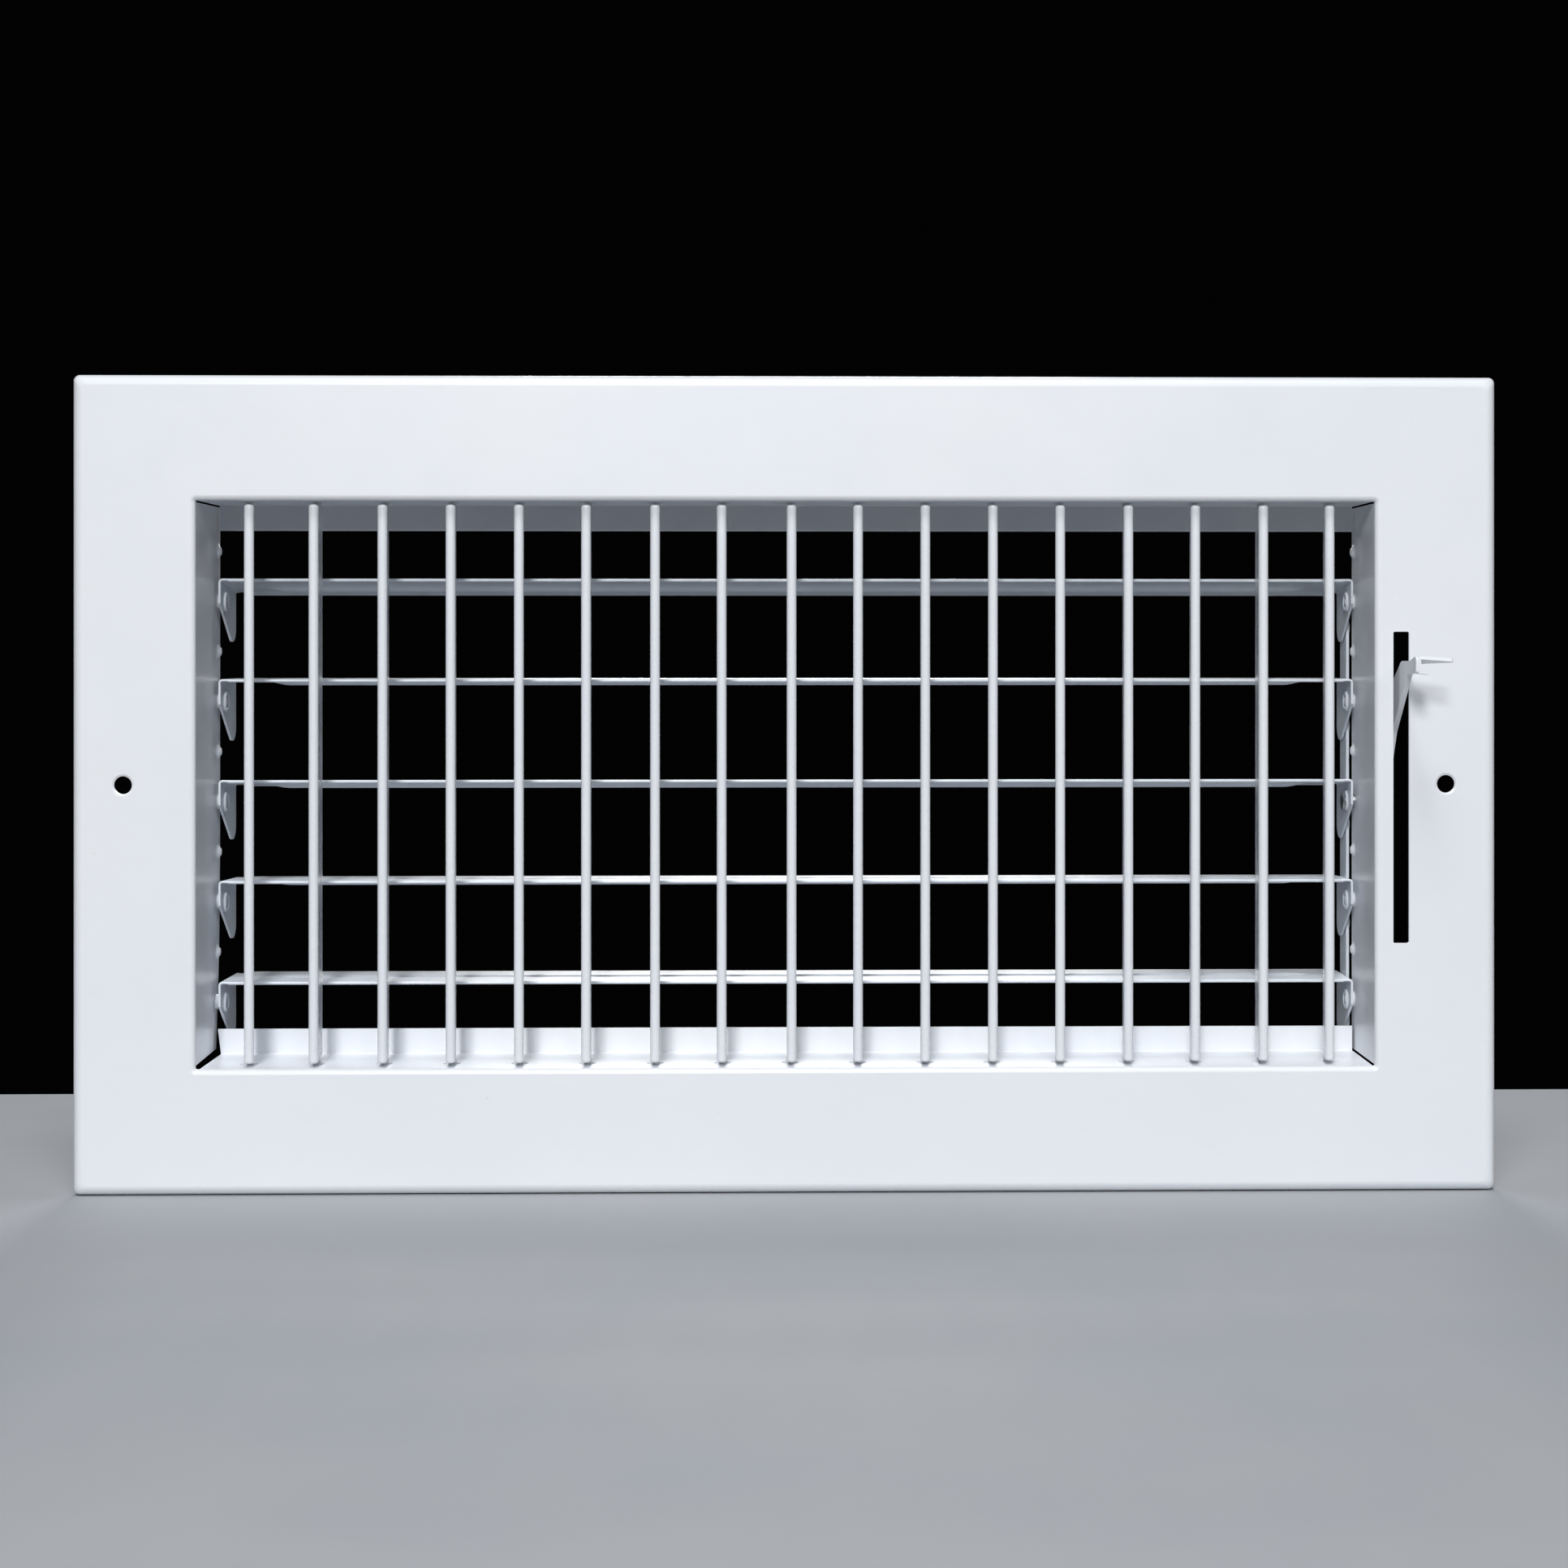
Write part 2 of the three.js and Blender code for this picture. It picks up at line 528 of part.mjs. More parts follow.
// Built round its own pivot axis: Y behind it, Z above it.
function damperBlade(droop) {
  const outer = TAB_OUTER_X;
  const inner = outer - BLADE_SHEET;
  const ringRadius = TAB_HOLE_RADIUS + TAB_COLLAR_WALL;
  const tabs = [alongX(tabShape(droop), -outer, -inner), alongX(tabShape(droop), inner, outer)];
  const rings = [
    turnedOnX(bar(ringRadius, -inner - 0.1, TAB_COLLAR_HEIGHT - inner), COARSE, 0, 0, 0),
    turnedOnX(bar(ringRadius, inner - TAB_COLLAR_HEIGHT, inner + 0.1), COARSE, 0, 0, 0),
  ];
  const barOuter = LINK_BAR_X + LINK_BAR_SHEET;
  const boss = [
    [0, inner],
    [LINK_BOSS_RADIUS, inner],
    [LINK_BOSS_RADIUS, barOuter + RUNNING_GAP],
    [LINK_HEAD_RADIUS, barOuter + RUNNING_GAP],
    [LINK_HEAD_RADIUS, barOuter + RUNNING_GAP + LINK_HEAD_HEIGHT],
    [0, barOuter + RUNNING_GAP + LINK_HEAD_HEIGHT],
  ];
  const spareBoss = bar(LINK_BOSS_RADIUS, -outer - SPARE_BOSS_HEIGHT, -inner);
  const bosses = [boss, spareBoss].map((profile) =>
    turnedOnX(profile, COARSE, 0, LINK_BEHIND_PIVOT, -LINK_BELOW_PIVOT),
  );
  const hole = turnedOnX(bar(TAB_HOLE_RADIUS, inner - 1, outer + 1), COARSE, 0, 0, 0);
  return joined([bladeSheet(droop), ...tabs, ...rings, ...bosses])
    .subtract(hole)
    .subtract(hole.mirror([1, 0, 0]));
}

// ---------- link bar ----------

function linkBar() {
  const half = LINK_BAR_WIDTH / 2;
  const top = TOP_PIVOT_Z - LINK_BELOW_PIVOT;
  const bottom = BOTTOM_PIVOT_Z - LINK_BELOW_PIVOT;
  const centre = atDepth(PIVOT_DEPTH) + LINK_BEHIND_PIVOT;
  const outline = new THREE.Shape();
  outline.absarc(centre, top, half, 0, Math.PI);
  outline.absarc(centre, bottom, half, Math.PI, 2 * Math.PI);
  const strip = alongX(outline, LINK_BAR_X, LINK_BAR_X + LINK_BAR_SHEET);
  const radius = LINK_BOSS_RADIUS + LINK_BOSS_CLEARANCE;
  const holes = pivotHeights().map((z) =>
    turnedOnX(bar(radius, -1, LINK_BAR_SHEET + 1), FINE, LINK_BAR_X, centre, z - LINK_BELOW_PIVOT),
  );
  return strip.subtract(joined(holes));
}

// ---------- lever and axle ----------

// The lever's plate, in distances behind and above its pivot, so the front is at negative Y.
function leverPlate() {
  const crossingHeight = PIVOT_DEPTH * Math.tan(radians(LEVER_ANGLE));
  const placed = ([ahead, up]) => [-PIVOT_DEPTH - ahead, crossingHeight + up];
  const headFront = HEAD_TOP[0] + HEAD_LENGTH;
  const headRise = HEAD_LENGTH * Math.tan(radians(GRIP_TILT));
  const outline = new THREE.Shape();
  outline.absarc(0, 0, LEVER_HUB_RADIUS, radians(HUB_START_ANGLE), radians(HUB_END_ANGLE));
  outline.lineTo(...placed(ARM_TOP));
  outline.lineTo(...placed(KNEE_START));
  outline.quadraticCurveTo(...placed(KNEE), ...placed(KNEE_END));
  outline.lineTo(...placed(HEAD_TOP));
  outline.lineTo(...placed([headFront, HEAD_TOP[1] + headRise]));
  outline.lineTo(...placed([headFront, HEAD_BOTTOM[1]]));
  outline.lineTo(...placed(ARM_ELBOW));
  outline.lineTo(...placed(ARM_BOTTOM));
  return { outline, gripRoot: placed(HEAD_TOP), footRoot: placed(HEAD_BOTTOM) };
}

// The finger flange: widest where it leaves the lever, narrowing to its tip.
function leverGrip([y, z]) {
  const plan = polygon([
    [0, 0],
    [GRIP_LENGTH, GRIP_TIP - HEAD_LENGTH],
    [GRIP_LENGTH, -HEAD_LENGTH],
    [0, -HEAD_LENGTH],
  ]);
  const geometry = extruded(plan, GRIP_SHEET).translate(0, 0, -GRIP_SHEET);
  return solidOf(geometry.rotateY(radians(GRIP_DROOP)).rotateX(radians(-GRIP_TILT)).translate(0, y, z));
}

function leverFoot([y, z]) {
  const geometry = new THREE.BoxGeometry(HEAD_FOOT, HEAD_LENGTH, HEAD_FOOT_SHEET);
  geometry.translate(HEAD_FOOT / 2, -HEAD_LENGTH / 2, HEAD_FOOT_SHEET / 2);
  return solidOf(geometry.rotateY(radians(HEAD_FOOT_TILT)).translate(0, y, z));
}

function lever() {
  const { outline, gripRoot, footRoot } = leverPlate();
  const plate = alongX(outline, -LEVER_SHEET / 2, LEVER_SHEET / 2);
  const hole = turnedOnX(bar(AXLE_HOLE_RADIUS, -LEVER_SHEET, LEVER_SHEET), FINE, 0, 0, 0);
  return joined([plate, leverGrip(gripRoot), leverFoot(footRoot)]).subtract(hole);
}

// Stepped pin, riveted over inside the blade's tab and outside the lever, with a spacing shoulder.
function leverAxle() {
  const tabInner = TAB_OUTER_X - BLADE_SHEET - TAB_COLLAR_HEIGHT;
  const wallOuter = HALF_OPENING_WIDTH + SHEET;
  const leverInner = LEVER_X - LEVER_SHEET / 2;
  const leverOuter = LEVER_X + LEVER_SHEET / 2;
  const profile = [
    [0, tabInner - RUNNING_GAP - AXLE_HEAD_HEIGHT],
    [AXLE_HEAD_RADIUS, tabInner - RUNNING_GAP - AXLE_HEAD_HEIGHT],
    [AXLE_HEAD_RADIUS, tabInner - RUNNING_GAP],
    [AXLE_RADIUS, tabInner - RUNNING_GAP],
    [AXLE_RADIUS, wallOuter + RUNNING_GAP],
    [AXLE_SHOULDER_RADIUS, wallOuter + RUNNING_GAP],
    [AXLE_SHOULDER_RADIUS, leverInner - RUNNING_GAP],
    [AXLE_RADIUS, leverInner - RUNNING_GAP],
    [AXLE_RADIUS, leverOuter + RUNNING_GAP],
    [AXLE_HEAD_RADIUS, leverOuter + RUNNING_GAP],
    [AXLE_HEAD_RADIUS, leverOuter + RUNNING_GAP + AXLE_HEAD_HEIGHT],
    [0, leverOuter + RUNNING_GAP + AXLE_HEAD_HEIGHT],
  ];
  return turnedOnX(profile, FINE, 0, 0, 0);
}

// ---------- assembly ----------

const grille = new THREE.Group();
grille.add(meshOf("face_frame", faceFrame(), faceEnamel()));

vanePlaces().forEach((x, i) => {
  const number = String(i + 1).padStart(2, "0");
  const mesh = meshOf("vane_" + number, vane(), vaneEnamel());
  mesh.position.set(x, atDepth(VANE_DEPTH), 0);
  mesh.rotation.z = radians(-VANE_TURNS[i]);
  grille.add(mesh);
});

pivotHeights().forEach((z, i) => {
  const mesh = meshOf("damper_blade_" + (i + 1), damperBlade(BLADE_DROOPS[i]), damperEnamel());
  mesh.position.set(0, atDepth(PIVOT_DEPTH), z);
  grille.add(mesh);
});

grille.add(meshOf("damper_link_bar", linkBar(), damperEnamel()));

const leverGroup = new THREE.Group();
leverGroup.position.set(0, atDepth(PIVOT_DEPTH), LEVER_PIVOT_Z);
const leverMesh = meshOf("damper_lever", lever(), faceEnamel());
leverMesh.position.x = LEVER_X;
leverGroup.add(leverMesh, meshOf("lever_axle", leverAxle(), bareSteel()));
grille.add(leverGroup);

export default grille;
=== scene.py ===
import json
import math

import bmesh
import bpy
from mathutils import Matrix, Vector


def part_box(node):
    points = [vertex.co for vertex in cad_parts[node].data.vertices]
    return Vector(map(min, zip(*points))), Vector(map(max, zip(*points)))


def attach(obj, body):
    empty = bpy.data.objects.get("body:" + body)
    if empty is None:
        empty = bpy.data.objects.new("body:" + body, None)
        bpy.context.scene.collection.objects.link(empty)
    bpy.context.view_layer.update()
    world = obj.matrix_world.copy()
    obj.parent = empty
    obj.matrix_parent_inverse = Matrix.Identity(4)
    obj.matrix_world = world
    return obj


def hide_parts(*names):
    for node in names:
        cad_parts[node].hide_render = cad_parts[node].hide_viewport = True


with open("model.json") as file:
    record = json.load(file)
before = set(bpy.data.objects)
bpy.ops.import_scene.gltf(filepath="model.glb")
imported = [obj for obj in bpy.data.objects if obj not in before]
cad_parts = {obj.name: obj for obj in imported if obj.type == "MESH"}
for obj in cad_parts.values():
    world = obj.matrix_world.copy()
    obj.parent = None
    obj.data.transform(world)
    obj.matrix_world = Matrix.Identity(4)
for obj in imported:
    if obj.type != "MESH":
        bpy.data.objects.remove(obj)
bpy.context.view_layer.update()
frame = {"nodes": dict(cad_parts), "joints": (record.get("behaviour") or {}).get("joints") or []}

MM = 0.001
JOINTS = {joint["name"]: joint for joint in frame["joints"]}

# ---------- sizes ----------

SHEET = 0.8 * MM
RIM_BEND = 2.6 * MM
MOUTH_BEND = 1.4 * MM
PLAN_CORNER = 1.5 * MM  # the face's corners, seen from the front
MOUTH_CORNER = 0.35 * MM  # the opening's corners, seen from the front
SIDE_BORDER = 30 * MM
END_BORDER = 30.8 * MM  # top and bottom
LIP_HEIGHT = 6.4 * MM
LIP_BEND = 1 * MM
CORNER_GAP = 0.4 * MM
OPEN_CORNER_GAP = 0.9 * MM  # the bottom left corner
LIP_END_GAP = 0.6 * MM
LEFT_WALL_LEAN = 1.1 * MM  # how far the left wall's lower rear corner stands outward
MOUNT_HOLE_INSET = 12.5 * MM
MOUNT_HOLE_RADIUS = 2.2 * MM
MOUNT_DIMPLE_RADIUS = 2.75 * MM
MOUNT_DIMPLE_DEPTH = 0.25 * MM
SOCKET_MOUTH = 2.2 * MM
SOCKET_THROAT = 1.85 * MM
PIVOT_BASE = 1.95 * MM
PIVOT_TIP = 0.95 * MM
PIVOT_HEIGHT = 2.4 * MM
SPARE_PIVOT_HEIGHT = 0.9 * MM
PIVOT_BEHIND_LIP = 0.2 * MM

VANE_FRONT = 7.2 * MM
VANE_REAR = 7.8 * MM
VANE_NOSE = 1.2 * MM
VANE_TAIL = 0.4 * MM
VANE_PIN = 1.1 * MM
VANE_PIN_PROUD = 0.6 * MM
VANE_TOP_GAP = 0.8 * MM
VANE_BOTTOM_GAP = 1 * MM
VANE_END_ROUNDING = 0.7 * MM
VANE_TURNS = [-11.5, -2.5, -3.5, -3, -3, -0.5, -2.5, 1, -3.5, 0, 1.5, 2, 3, 2, 3.5, 2.5, 5.5]

TAB_CLEARANCE = 1.3 * MM
BLADE_SHEET = 0.6 * MM
HEM_THICKNESS = 0.8 * MM
HEM_WIDTH = 3 * MM
HEM_STEP = 0.35 * MM
BLADE_FRONT = 6.2 * MM
BLADE_REAR = 16.4 * MM
BLADE_RISE = 5.5 * MM
BLADE_BEND = 1 * MM
BLADE_DROOPS = [-8.1, 0, -4.8, -1.8, 0]
TAB_REAR = 12.8 * MM
TAB_SHOULDER = 0.5 * MM
TAB_TIP = 3.6 * MM
RELIEF = 2.6 * MM
RELIEF_ROUND = 0.8 * MM
BEAD_HALF_WIDTH = 3 * MM
BEAD_NARROW_END = 0.35  # share of the bead's width that is left where it fades out
BEAD_DEPTH = 1.1 * MM
BEAD_BEHIND = 5.6 * MM
BEAD_END_MARGIN = 9 * MM
BEAD_TAPER = 7 * MM
RING_HOLE = 1.8 * MM
RING_OUTER = 2.5 * MM
RING_HEIGHT = 0.5 * MM

LINK_BEHIND = 9.2 * MM
LINK_BELOW = 6.6 * MM
LINK_HALF_WIDTH = 4.1 * MM
LINK_SHEET = 0.8 * MM
LINK_GAP = 0.35 * MM
LINK_BOSS = 1.3 * MM
LINK_BOSS_CLEARANCE = 0.35 * MM
LINK_HEAD = 2 * MM
LINK_HEAD_HEIGHT = 0.45 * MM
RUNNING_GAP = 0.3 * MM

LEVER_OUTBOARD = 6.4 * MM
LEVER_SHEET = 1.3 * MM
LEVER_ANGLE = 47.5
LEVER_HUB = 6.5 * MM
LEVER_HEAD = 7.5 * MM
GRIP_LENGTH = 8.4 * MM
GRIP_TIP = 1.4 * MM
GRIP_SHEET = 0.8 * MM
GRIP_TILT = 10
GRIP_DROOP = 4
FOOT_LENGTH = 2.9 * MM
FOOT_SHEET = 1 * MM
FOOT_TILT = 8
SLOT_WIDTH = 3.9 * MM
SLOT_TOP_ANGLE = 57.8
SLOT_BOTTOM_ANGLE = 51.1
SLOT_CORNER = 0.4 * MM

# Lever's outline: millimetres ahead of the face, and above the place where the lever crosses it.
ARM_TOP = (-8.4, 0.5)
KNEE = (3, 6.3)
HEAD_TOP = (12, 6.3)
HEAD_BOTTOM = (12, 3.4)
ARM_ELBOW = (10, 3.2)
ARM_BOTTOM = (-8, -11.7)
HUB_START_ANGLE = 213
HUB_END_ANGLE = 402

AXLE = 1.49 * MM
AXLE_SHOULDER = 2.6 * MM
AXLE_HEAD = 2.5 * MM
AXLE_HEAD_HEIGHT = 0.7 * MM

FLOOR_HALF_WIDTH = 900 * MM
FLOOR_FRONT = -360 * MM
FLOOR_REAR = 150 * MM
FLOOR_CORNER = 50 * MM
FLOOR_THICKNESS = 10 * MM
FLOOR_GAP = 0.2 * MM

# ---------- places read from the frame ----------

FACE_LOW, FACE_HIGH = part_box("face_frame")
HALF_FACE_X = FACE_HIGH.x
HALF_FACE_Z = FACE_HIGH.z
FACE_Y = FACE_LOW.y
SIDE_WALL_Y = FACE_HIGH.y
HALF_MOUTH_X = HALF_FACE_X - SIDE_BORDER
HALF_MOUTH_Z = HALF_FACE_Z - END_BORDER
VANE_NAMES = sorted(name for name in frame["nodes"] if name.startswith("vane_"))
VANE_PINS = [Vector(JOINTS[name + "_turn"]["pos_m"]) for name in VANE_NAMES]
LEVER_BLADE = 3
PIVOT_Y = JOINTS["damper_lever_turn"]["pos_m"][1]
LEVER_Z = JOINTS["damper_lever_turn"]["pos_m"][2]
PIVOT_ZS = [
    JOINTS["damper_lever_turn" if n == LEVER_BLADE else f"damper_blade_{n}_turn"]["pos_m"][2]
    for n in range(1, 6)
]
DAMPER_PITCH = PIVOT_ZS[0] - PIVOT_ZS[1]
END_WALL_Y = PIVOT_Y - PIVOT_BEHIND_LIP
TAB_X = HALF_MOUTH_X - TAB_CLEARANCE
LEVER_X = HALF_MOUTH_X + LEVER_OUTBOARD


# ---------- mesh helpers ----------


def new_piece(name, bm):
    """A mesh object from a bmesh, with its faces turned outward."""
    bmesh.ops.recalc_face_normals(bm, faces=bm.faces)
    mesh = bpy.data.meshes.new(name)
    bm.to_mesh(mesh)
    bm.free()
    piece = bpy.data.objects.new(name, mesh)
    bpy.context.scene.collection.objects.link(piece)
    return piece


def on_axis(axis, u, v, along):
    """A point from its place across an axis and its place along it."""
    if axis == "X":
        return Vector((along, u, v))
    if axis == "Y":
        return Vector((u, along, v))
    return Vector((u, v, along))


def add_prism(bm, outline, axis, low, high):
    near = [bm.verts.new(on_axis(axis, u, v, low)) for u, v in outline]
    far = [bm.verts.new(on_axis(axis, u, v, high)) for u, v in outline]
    bm.faces.new(near)
    bm.faces.new(far[::-1])
    join_loops(bm, near, far)


def join_loops(bm, first, second):
    count = len(first)
    for i in range(count):
        j = (i + 1) % count
        bm.faces.new((first[i], first[j], second[j], second[i]))


def add_turned(bm, profile, axis, u, v, sides=32):
    """A turned solid: profile is (radius, place along the axis), from the axis to the axis."""
    loops = []
    for radius, along in profile:
        if radius == 0:
            loops.append([bm.verts.new(on_axis(axis, u, v, along))])
            continue
        ring = arc((u, v), radius, 0, 360, sides)[:-1]
        loops.append([bm.verts.new(on_axis(axis, *point, along)) for point in ring])
    for first, second in zip(loops, loops[1:]):
        for i in range(sides):
            j = (i + 1) % sides
            if len(first) == 1:
                bm.faces.new((first[0], second[i], second[j]))
            elif len(second) == 1:
                bm.faces.new((first[i], first[j], second[0]))
            else:
                bm.faces.new((first[i], first[j], second[j], second[i]))


def add_rod(bm, radius, ends, axis, u, v, sides=32):
    low, high = ends
    add_turned(bm, [(0, low), (radius, low), (radius, high), (0, high)], axis, u, v, sides)


def move_all(bm, offset, *turns):
    """Turn everything in a bmesh about the origin, by (degrees, axis) pairs, and then move it."""
    for degrees, axis in turns:
        bmesh.ops.rotate(bm, matrix=Matrix.Rotation(math.radians(degrees), 3, axis), verts=bm.verts)
    bmesh.ops.translate(bm, vec=offset, verts=bm.verts)


def arc(centre, radius, start, end, steps):
    """Points of an arc, in degrees, both ends included."""
    points = []
    for i in range(steps + 1):
        turn = math.radians(start + (end - start) * i / steps)
        points.append((centre[0] + radius * math.cos(turn), centre[1] + radius * math.sin(turn)))
    return points


def rounded(points, radii, steps=8):
    """An outline with its corners rounded, each by its own radius."""
    outline = []
    count = len(points)
    for i, radius in enumerate(radii):
        corner = Vector(points[i])
        if radius == 0:
            outline.append(tuple(corner))
            continue
        before = (Vector(points[i - 1]) - corner).normalized()
        after = (Vector(points[(i + 1) % count]) - corner).normalized()
        half = before.angle(after) / 2
        reach = radius / math.tan(half)
        centre = corner + (before + after).normalized() * (radius / math.sin(half))
        start = corner + before * reach - centre
        end = corner + after * reach - centre
        sweep = start.angle_signed(end)
        for k in range(steps + 1):
            turn = Matrix.Rotation(-sweep * k / steps, 2)
            outline.append(tuple(centre + turn @ start))
    return outline


def combine(piece, tool, operation):
    """Cut, join or intersect a piece with a tool, which is used up."""
    modifier = piece.modifiers.new("combine", "BOOLEAN")
    modifier.operation = operation
    modifier.solver = "EXACT"
    modifier.object = tool
    depsgraph = bpy.context.evaluated_depsgraph_get()
    piece.data = bpy.data.meshes.new_from_object(piece.evaluated_get(depsgraph))
    piece.modifiers.clear()
    bpy.data.objects.remove(tool)


def smooth(piece, sharp_angle=35):
    """Smooth shading that keeps flat faces flat and folds sharp."""
    piece.data.shade_smooth()
    piece.data.set_sharp_from_angle(angle=math.radians(sharp_angle))
    weighted = piece.modifiers.new("flat faces stay flat", "WEIGHTED_NORMAL")
    weighted.keep_sharp = True
    weighted.weight = 100


def soften(piece, width, segments=2, angle=40):
    """Round the sharp edges a little, as paint does."""
    bevel = piece.modifiers.new("paint on the edges", "BEVEL")
    bevel.width = width
    bevel.segments = segments
    bevel.limit_method = "ANGLE"
    bevel.angle_limit = math.radians(angle)
    bevel.use_clamp_overlap = True


def place(piece, body, slot, material, *nodes):
    """Give a piece its material and body, and hide the CAD nodes that it stands in for. The slot is not
    used.
    """
    piece.data.materials.clear()
    piece.data.materials.append(material)
    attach(piece, body)
    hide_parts(*nodes)


# ---------- materials ----------


class Shader:
    """A node material whose pieces are added one call at a time."""

    def __init__(self, name):
        self.material = bpy.data.materials.new(name)
        self.material.use_nodes = True
        self.tree = self.material.node_tree
        self.surface = self.tree.nodes["Principled BSDF"]
        self.coordinates = self.add("ShaderNodeTexCoord").outputs["Object"]

    def add(self, kind, **values):
        node = self.tree.nodes.new(kind)
        for key, value in values.items():
            setattr(node, key, value)
        return node

    def link(self, output, target):
        self.tree.links.new(output, target)

    def noise(self, scale, detail=2, roughness=0.5, stretch=(1, 1, 1)):
        mapping = self.add("ShaderNodeMapping")
        mapping.inputs["Scale"].default_value = stretch
        self.link(self.coordinates, mapping.inputs["Vector"])
        noise = self.add("ShaderNodeTexNoise")
        noise.inputs["Scale"].default_value = scale
        noise.inputs["Detail"].default_value = detail
        noise.inputs["Roughness"].default_value = roughness
        self.link(mapping.outputs["Vector"], noise.inputs["Vector"])
        return noise.outputs["Fac"]

    def remap(self, value, from_low, from_high, to_low, to_high):
        node = self.add("ShaderNodeMapRange")
        node.inputs["From Min"].default_value = from_low
        node.inputs["From Max"].default_value = from_high
        node.inputs["To Min"].default_value = to_low
        node.inputs["To Max"].default_value = to_high
        self.link(value, node.inputs["Value"])
        return node.outputs["Result"]

    def mix(self, factor, first, second):
        node = self.add("ShaderNodeMix", data_type="RGBA")
        self.link(factor, node.inputs["Factor"])
        for socket, colour in ((node.inputs["A"], first), (node.inputs["B"], second)):
            if isinstance(colour, tuple):
                socket.default_value = (*colour, 1)
            else:
                self.link(colour, socket)
        return node.outputs["Result"]

    def bump(self, height, strength, distance, below=None):
        node = self.add("ShaderNodeBump")
        node.inputs["Strength"].default_value = strength
        node.inputs["Distance"].default_value = distance
        self.link(height, node.inputs["Height"])
        if below is not None:
            self.link(below, node.inputs["Normal"])
        return node.outputs["Normal"]


def enamel(name, colour, roughness, peel=0.25):
    """Baked white enamel: orange peel, a slow drift of tone and gloss, and a little dust."""
    shader = Shader(name)
    drift = shader.remap(shader.noise(14, 3), 0.3, 0.7, 0, 1)
    cool = tuple(channel * factor for channel, factor in zip(colour, (0.965, 0.975, 0.995)))
    tone = shader.mix(drift, cool, colour)
    dust = shader.remap(shader.noise(620, 1), 0.83, 0.86, 0, 0.35)
    shader.link(shader.mix(dust, tone, (0.33, 0.33, 0.34)), shader.surface.inputs["Base Color"])
    gloss = shader.remap(shader.noise(95, 4, 0.6), 0.3, 0.7, roughness - 0.05, roughness + 0.06)
    shader.link(gloss, shader.surface.inputs["Roughness"])
    shader.surface.inputs["Specular IOR Level"].default_value = 0.5
    shader.surface.inputs["Coat Weight"].default_value = 0.12
    shader.surface.inputs["Coat Roughness"].default_value = 0.16
    waves = shader.bump(shader.noise(260, 2), peel * 0.6, 0.06 * MM)
    fine = shader.bump(shader.noise(1500, 2), peel, 0.02 * MM, waves)
    shader.link(fine, shader.surface.inputs["Normal"])
    return shader.material


def plated_steel(name):
    """Zinc-plated steel with fine turning marks and dull patches."""
    shader = Shader(name)
    patches = shader.remap(shader.noise(420, 3), 0.3, 0.7, 0, 1)
    tone = shader.mix(patches, (0.46, 0.47, 0.49), (0.62, 0.63, 0.64))
    shader.link(tone, shader.surface.inputs["Base Color"])
    shader.surface.inputs["Metallic"].default_value = 1
    gloss = shader.remap(shader.noise(800, 3), 0.3, 0.7, 0.26, 0.44)
    shader.link(gloss, shader.surface.inputs["Roughness"])
    marks = shader.bump(shader.noise(900, 2, 0.5, (0.2, 3, 3)), 0.2, 0.02 * MM)
    shader.link(marks, shader.surface.inputs["Normal"])
    return shader.material


def floor_paint(name):
    """Matt pale studio floor with a faint mottle."""
    shader = Shader(name)
    mottle = shader.remap(shader.noise(9, 4), 0.3, 0.7, 0, 1)
    tone = shader.mix(mottle, (0.37, 0.39, 0.42), (0.41, 0.42, 0.44))
    shader.link(tone, shader.surface.inputs["Base Color"])
    shader.surface.inputs["Roughness"].default_value = 0.75
    shader.link(shader.bump(shader.noise(320, 3), 0.1, 0.1 * MM), shader.surface.inputs["Normal"])
    return shader.material


FACE_ENAMEL = enamel("face enamel", (0.80, 0.82, 0.85), 0.36)
VANE_ENAMEL = enamel("vane enamel", (0.77, 0.795, 0.83), 0.27, 0.15)
DAMPER_ENAMEL = enamel("damper enamel", (0.72, 0.76, 0.81), 0.33, 0.2)
STEEL = plated_steel("plated steel")


# ---------- face frame ----------


def mouth_ring(bm, half_x, half_z, corner, y, steps=10):
    """One rounded rectangle of the pressed sheet."""
    outline = []
    corners = ((half_x, -half_z, 270), (half_x, half_z, 0), (-half_x, half_z, 90), (-half_x, -half_z, 180))
    for x, z, start in corners:
        centre = (x - math.copysign(corner, x), z - math.copysign(corner, z))
        outline += arc(centre, corner, start, start + 90, steps)
    return [bm.verts.new((x, y, z)) for x, z in outline]


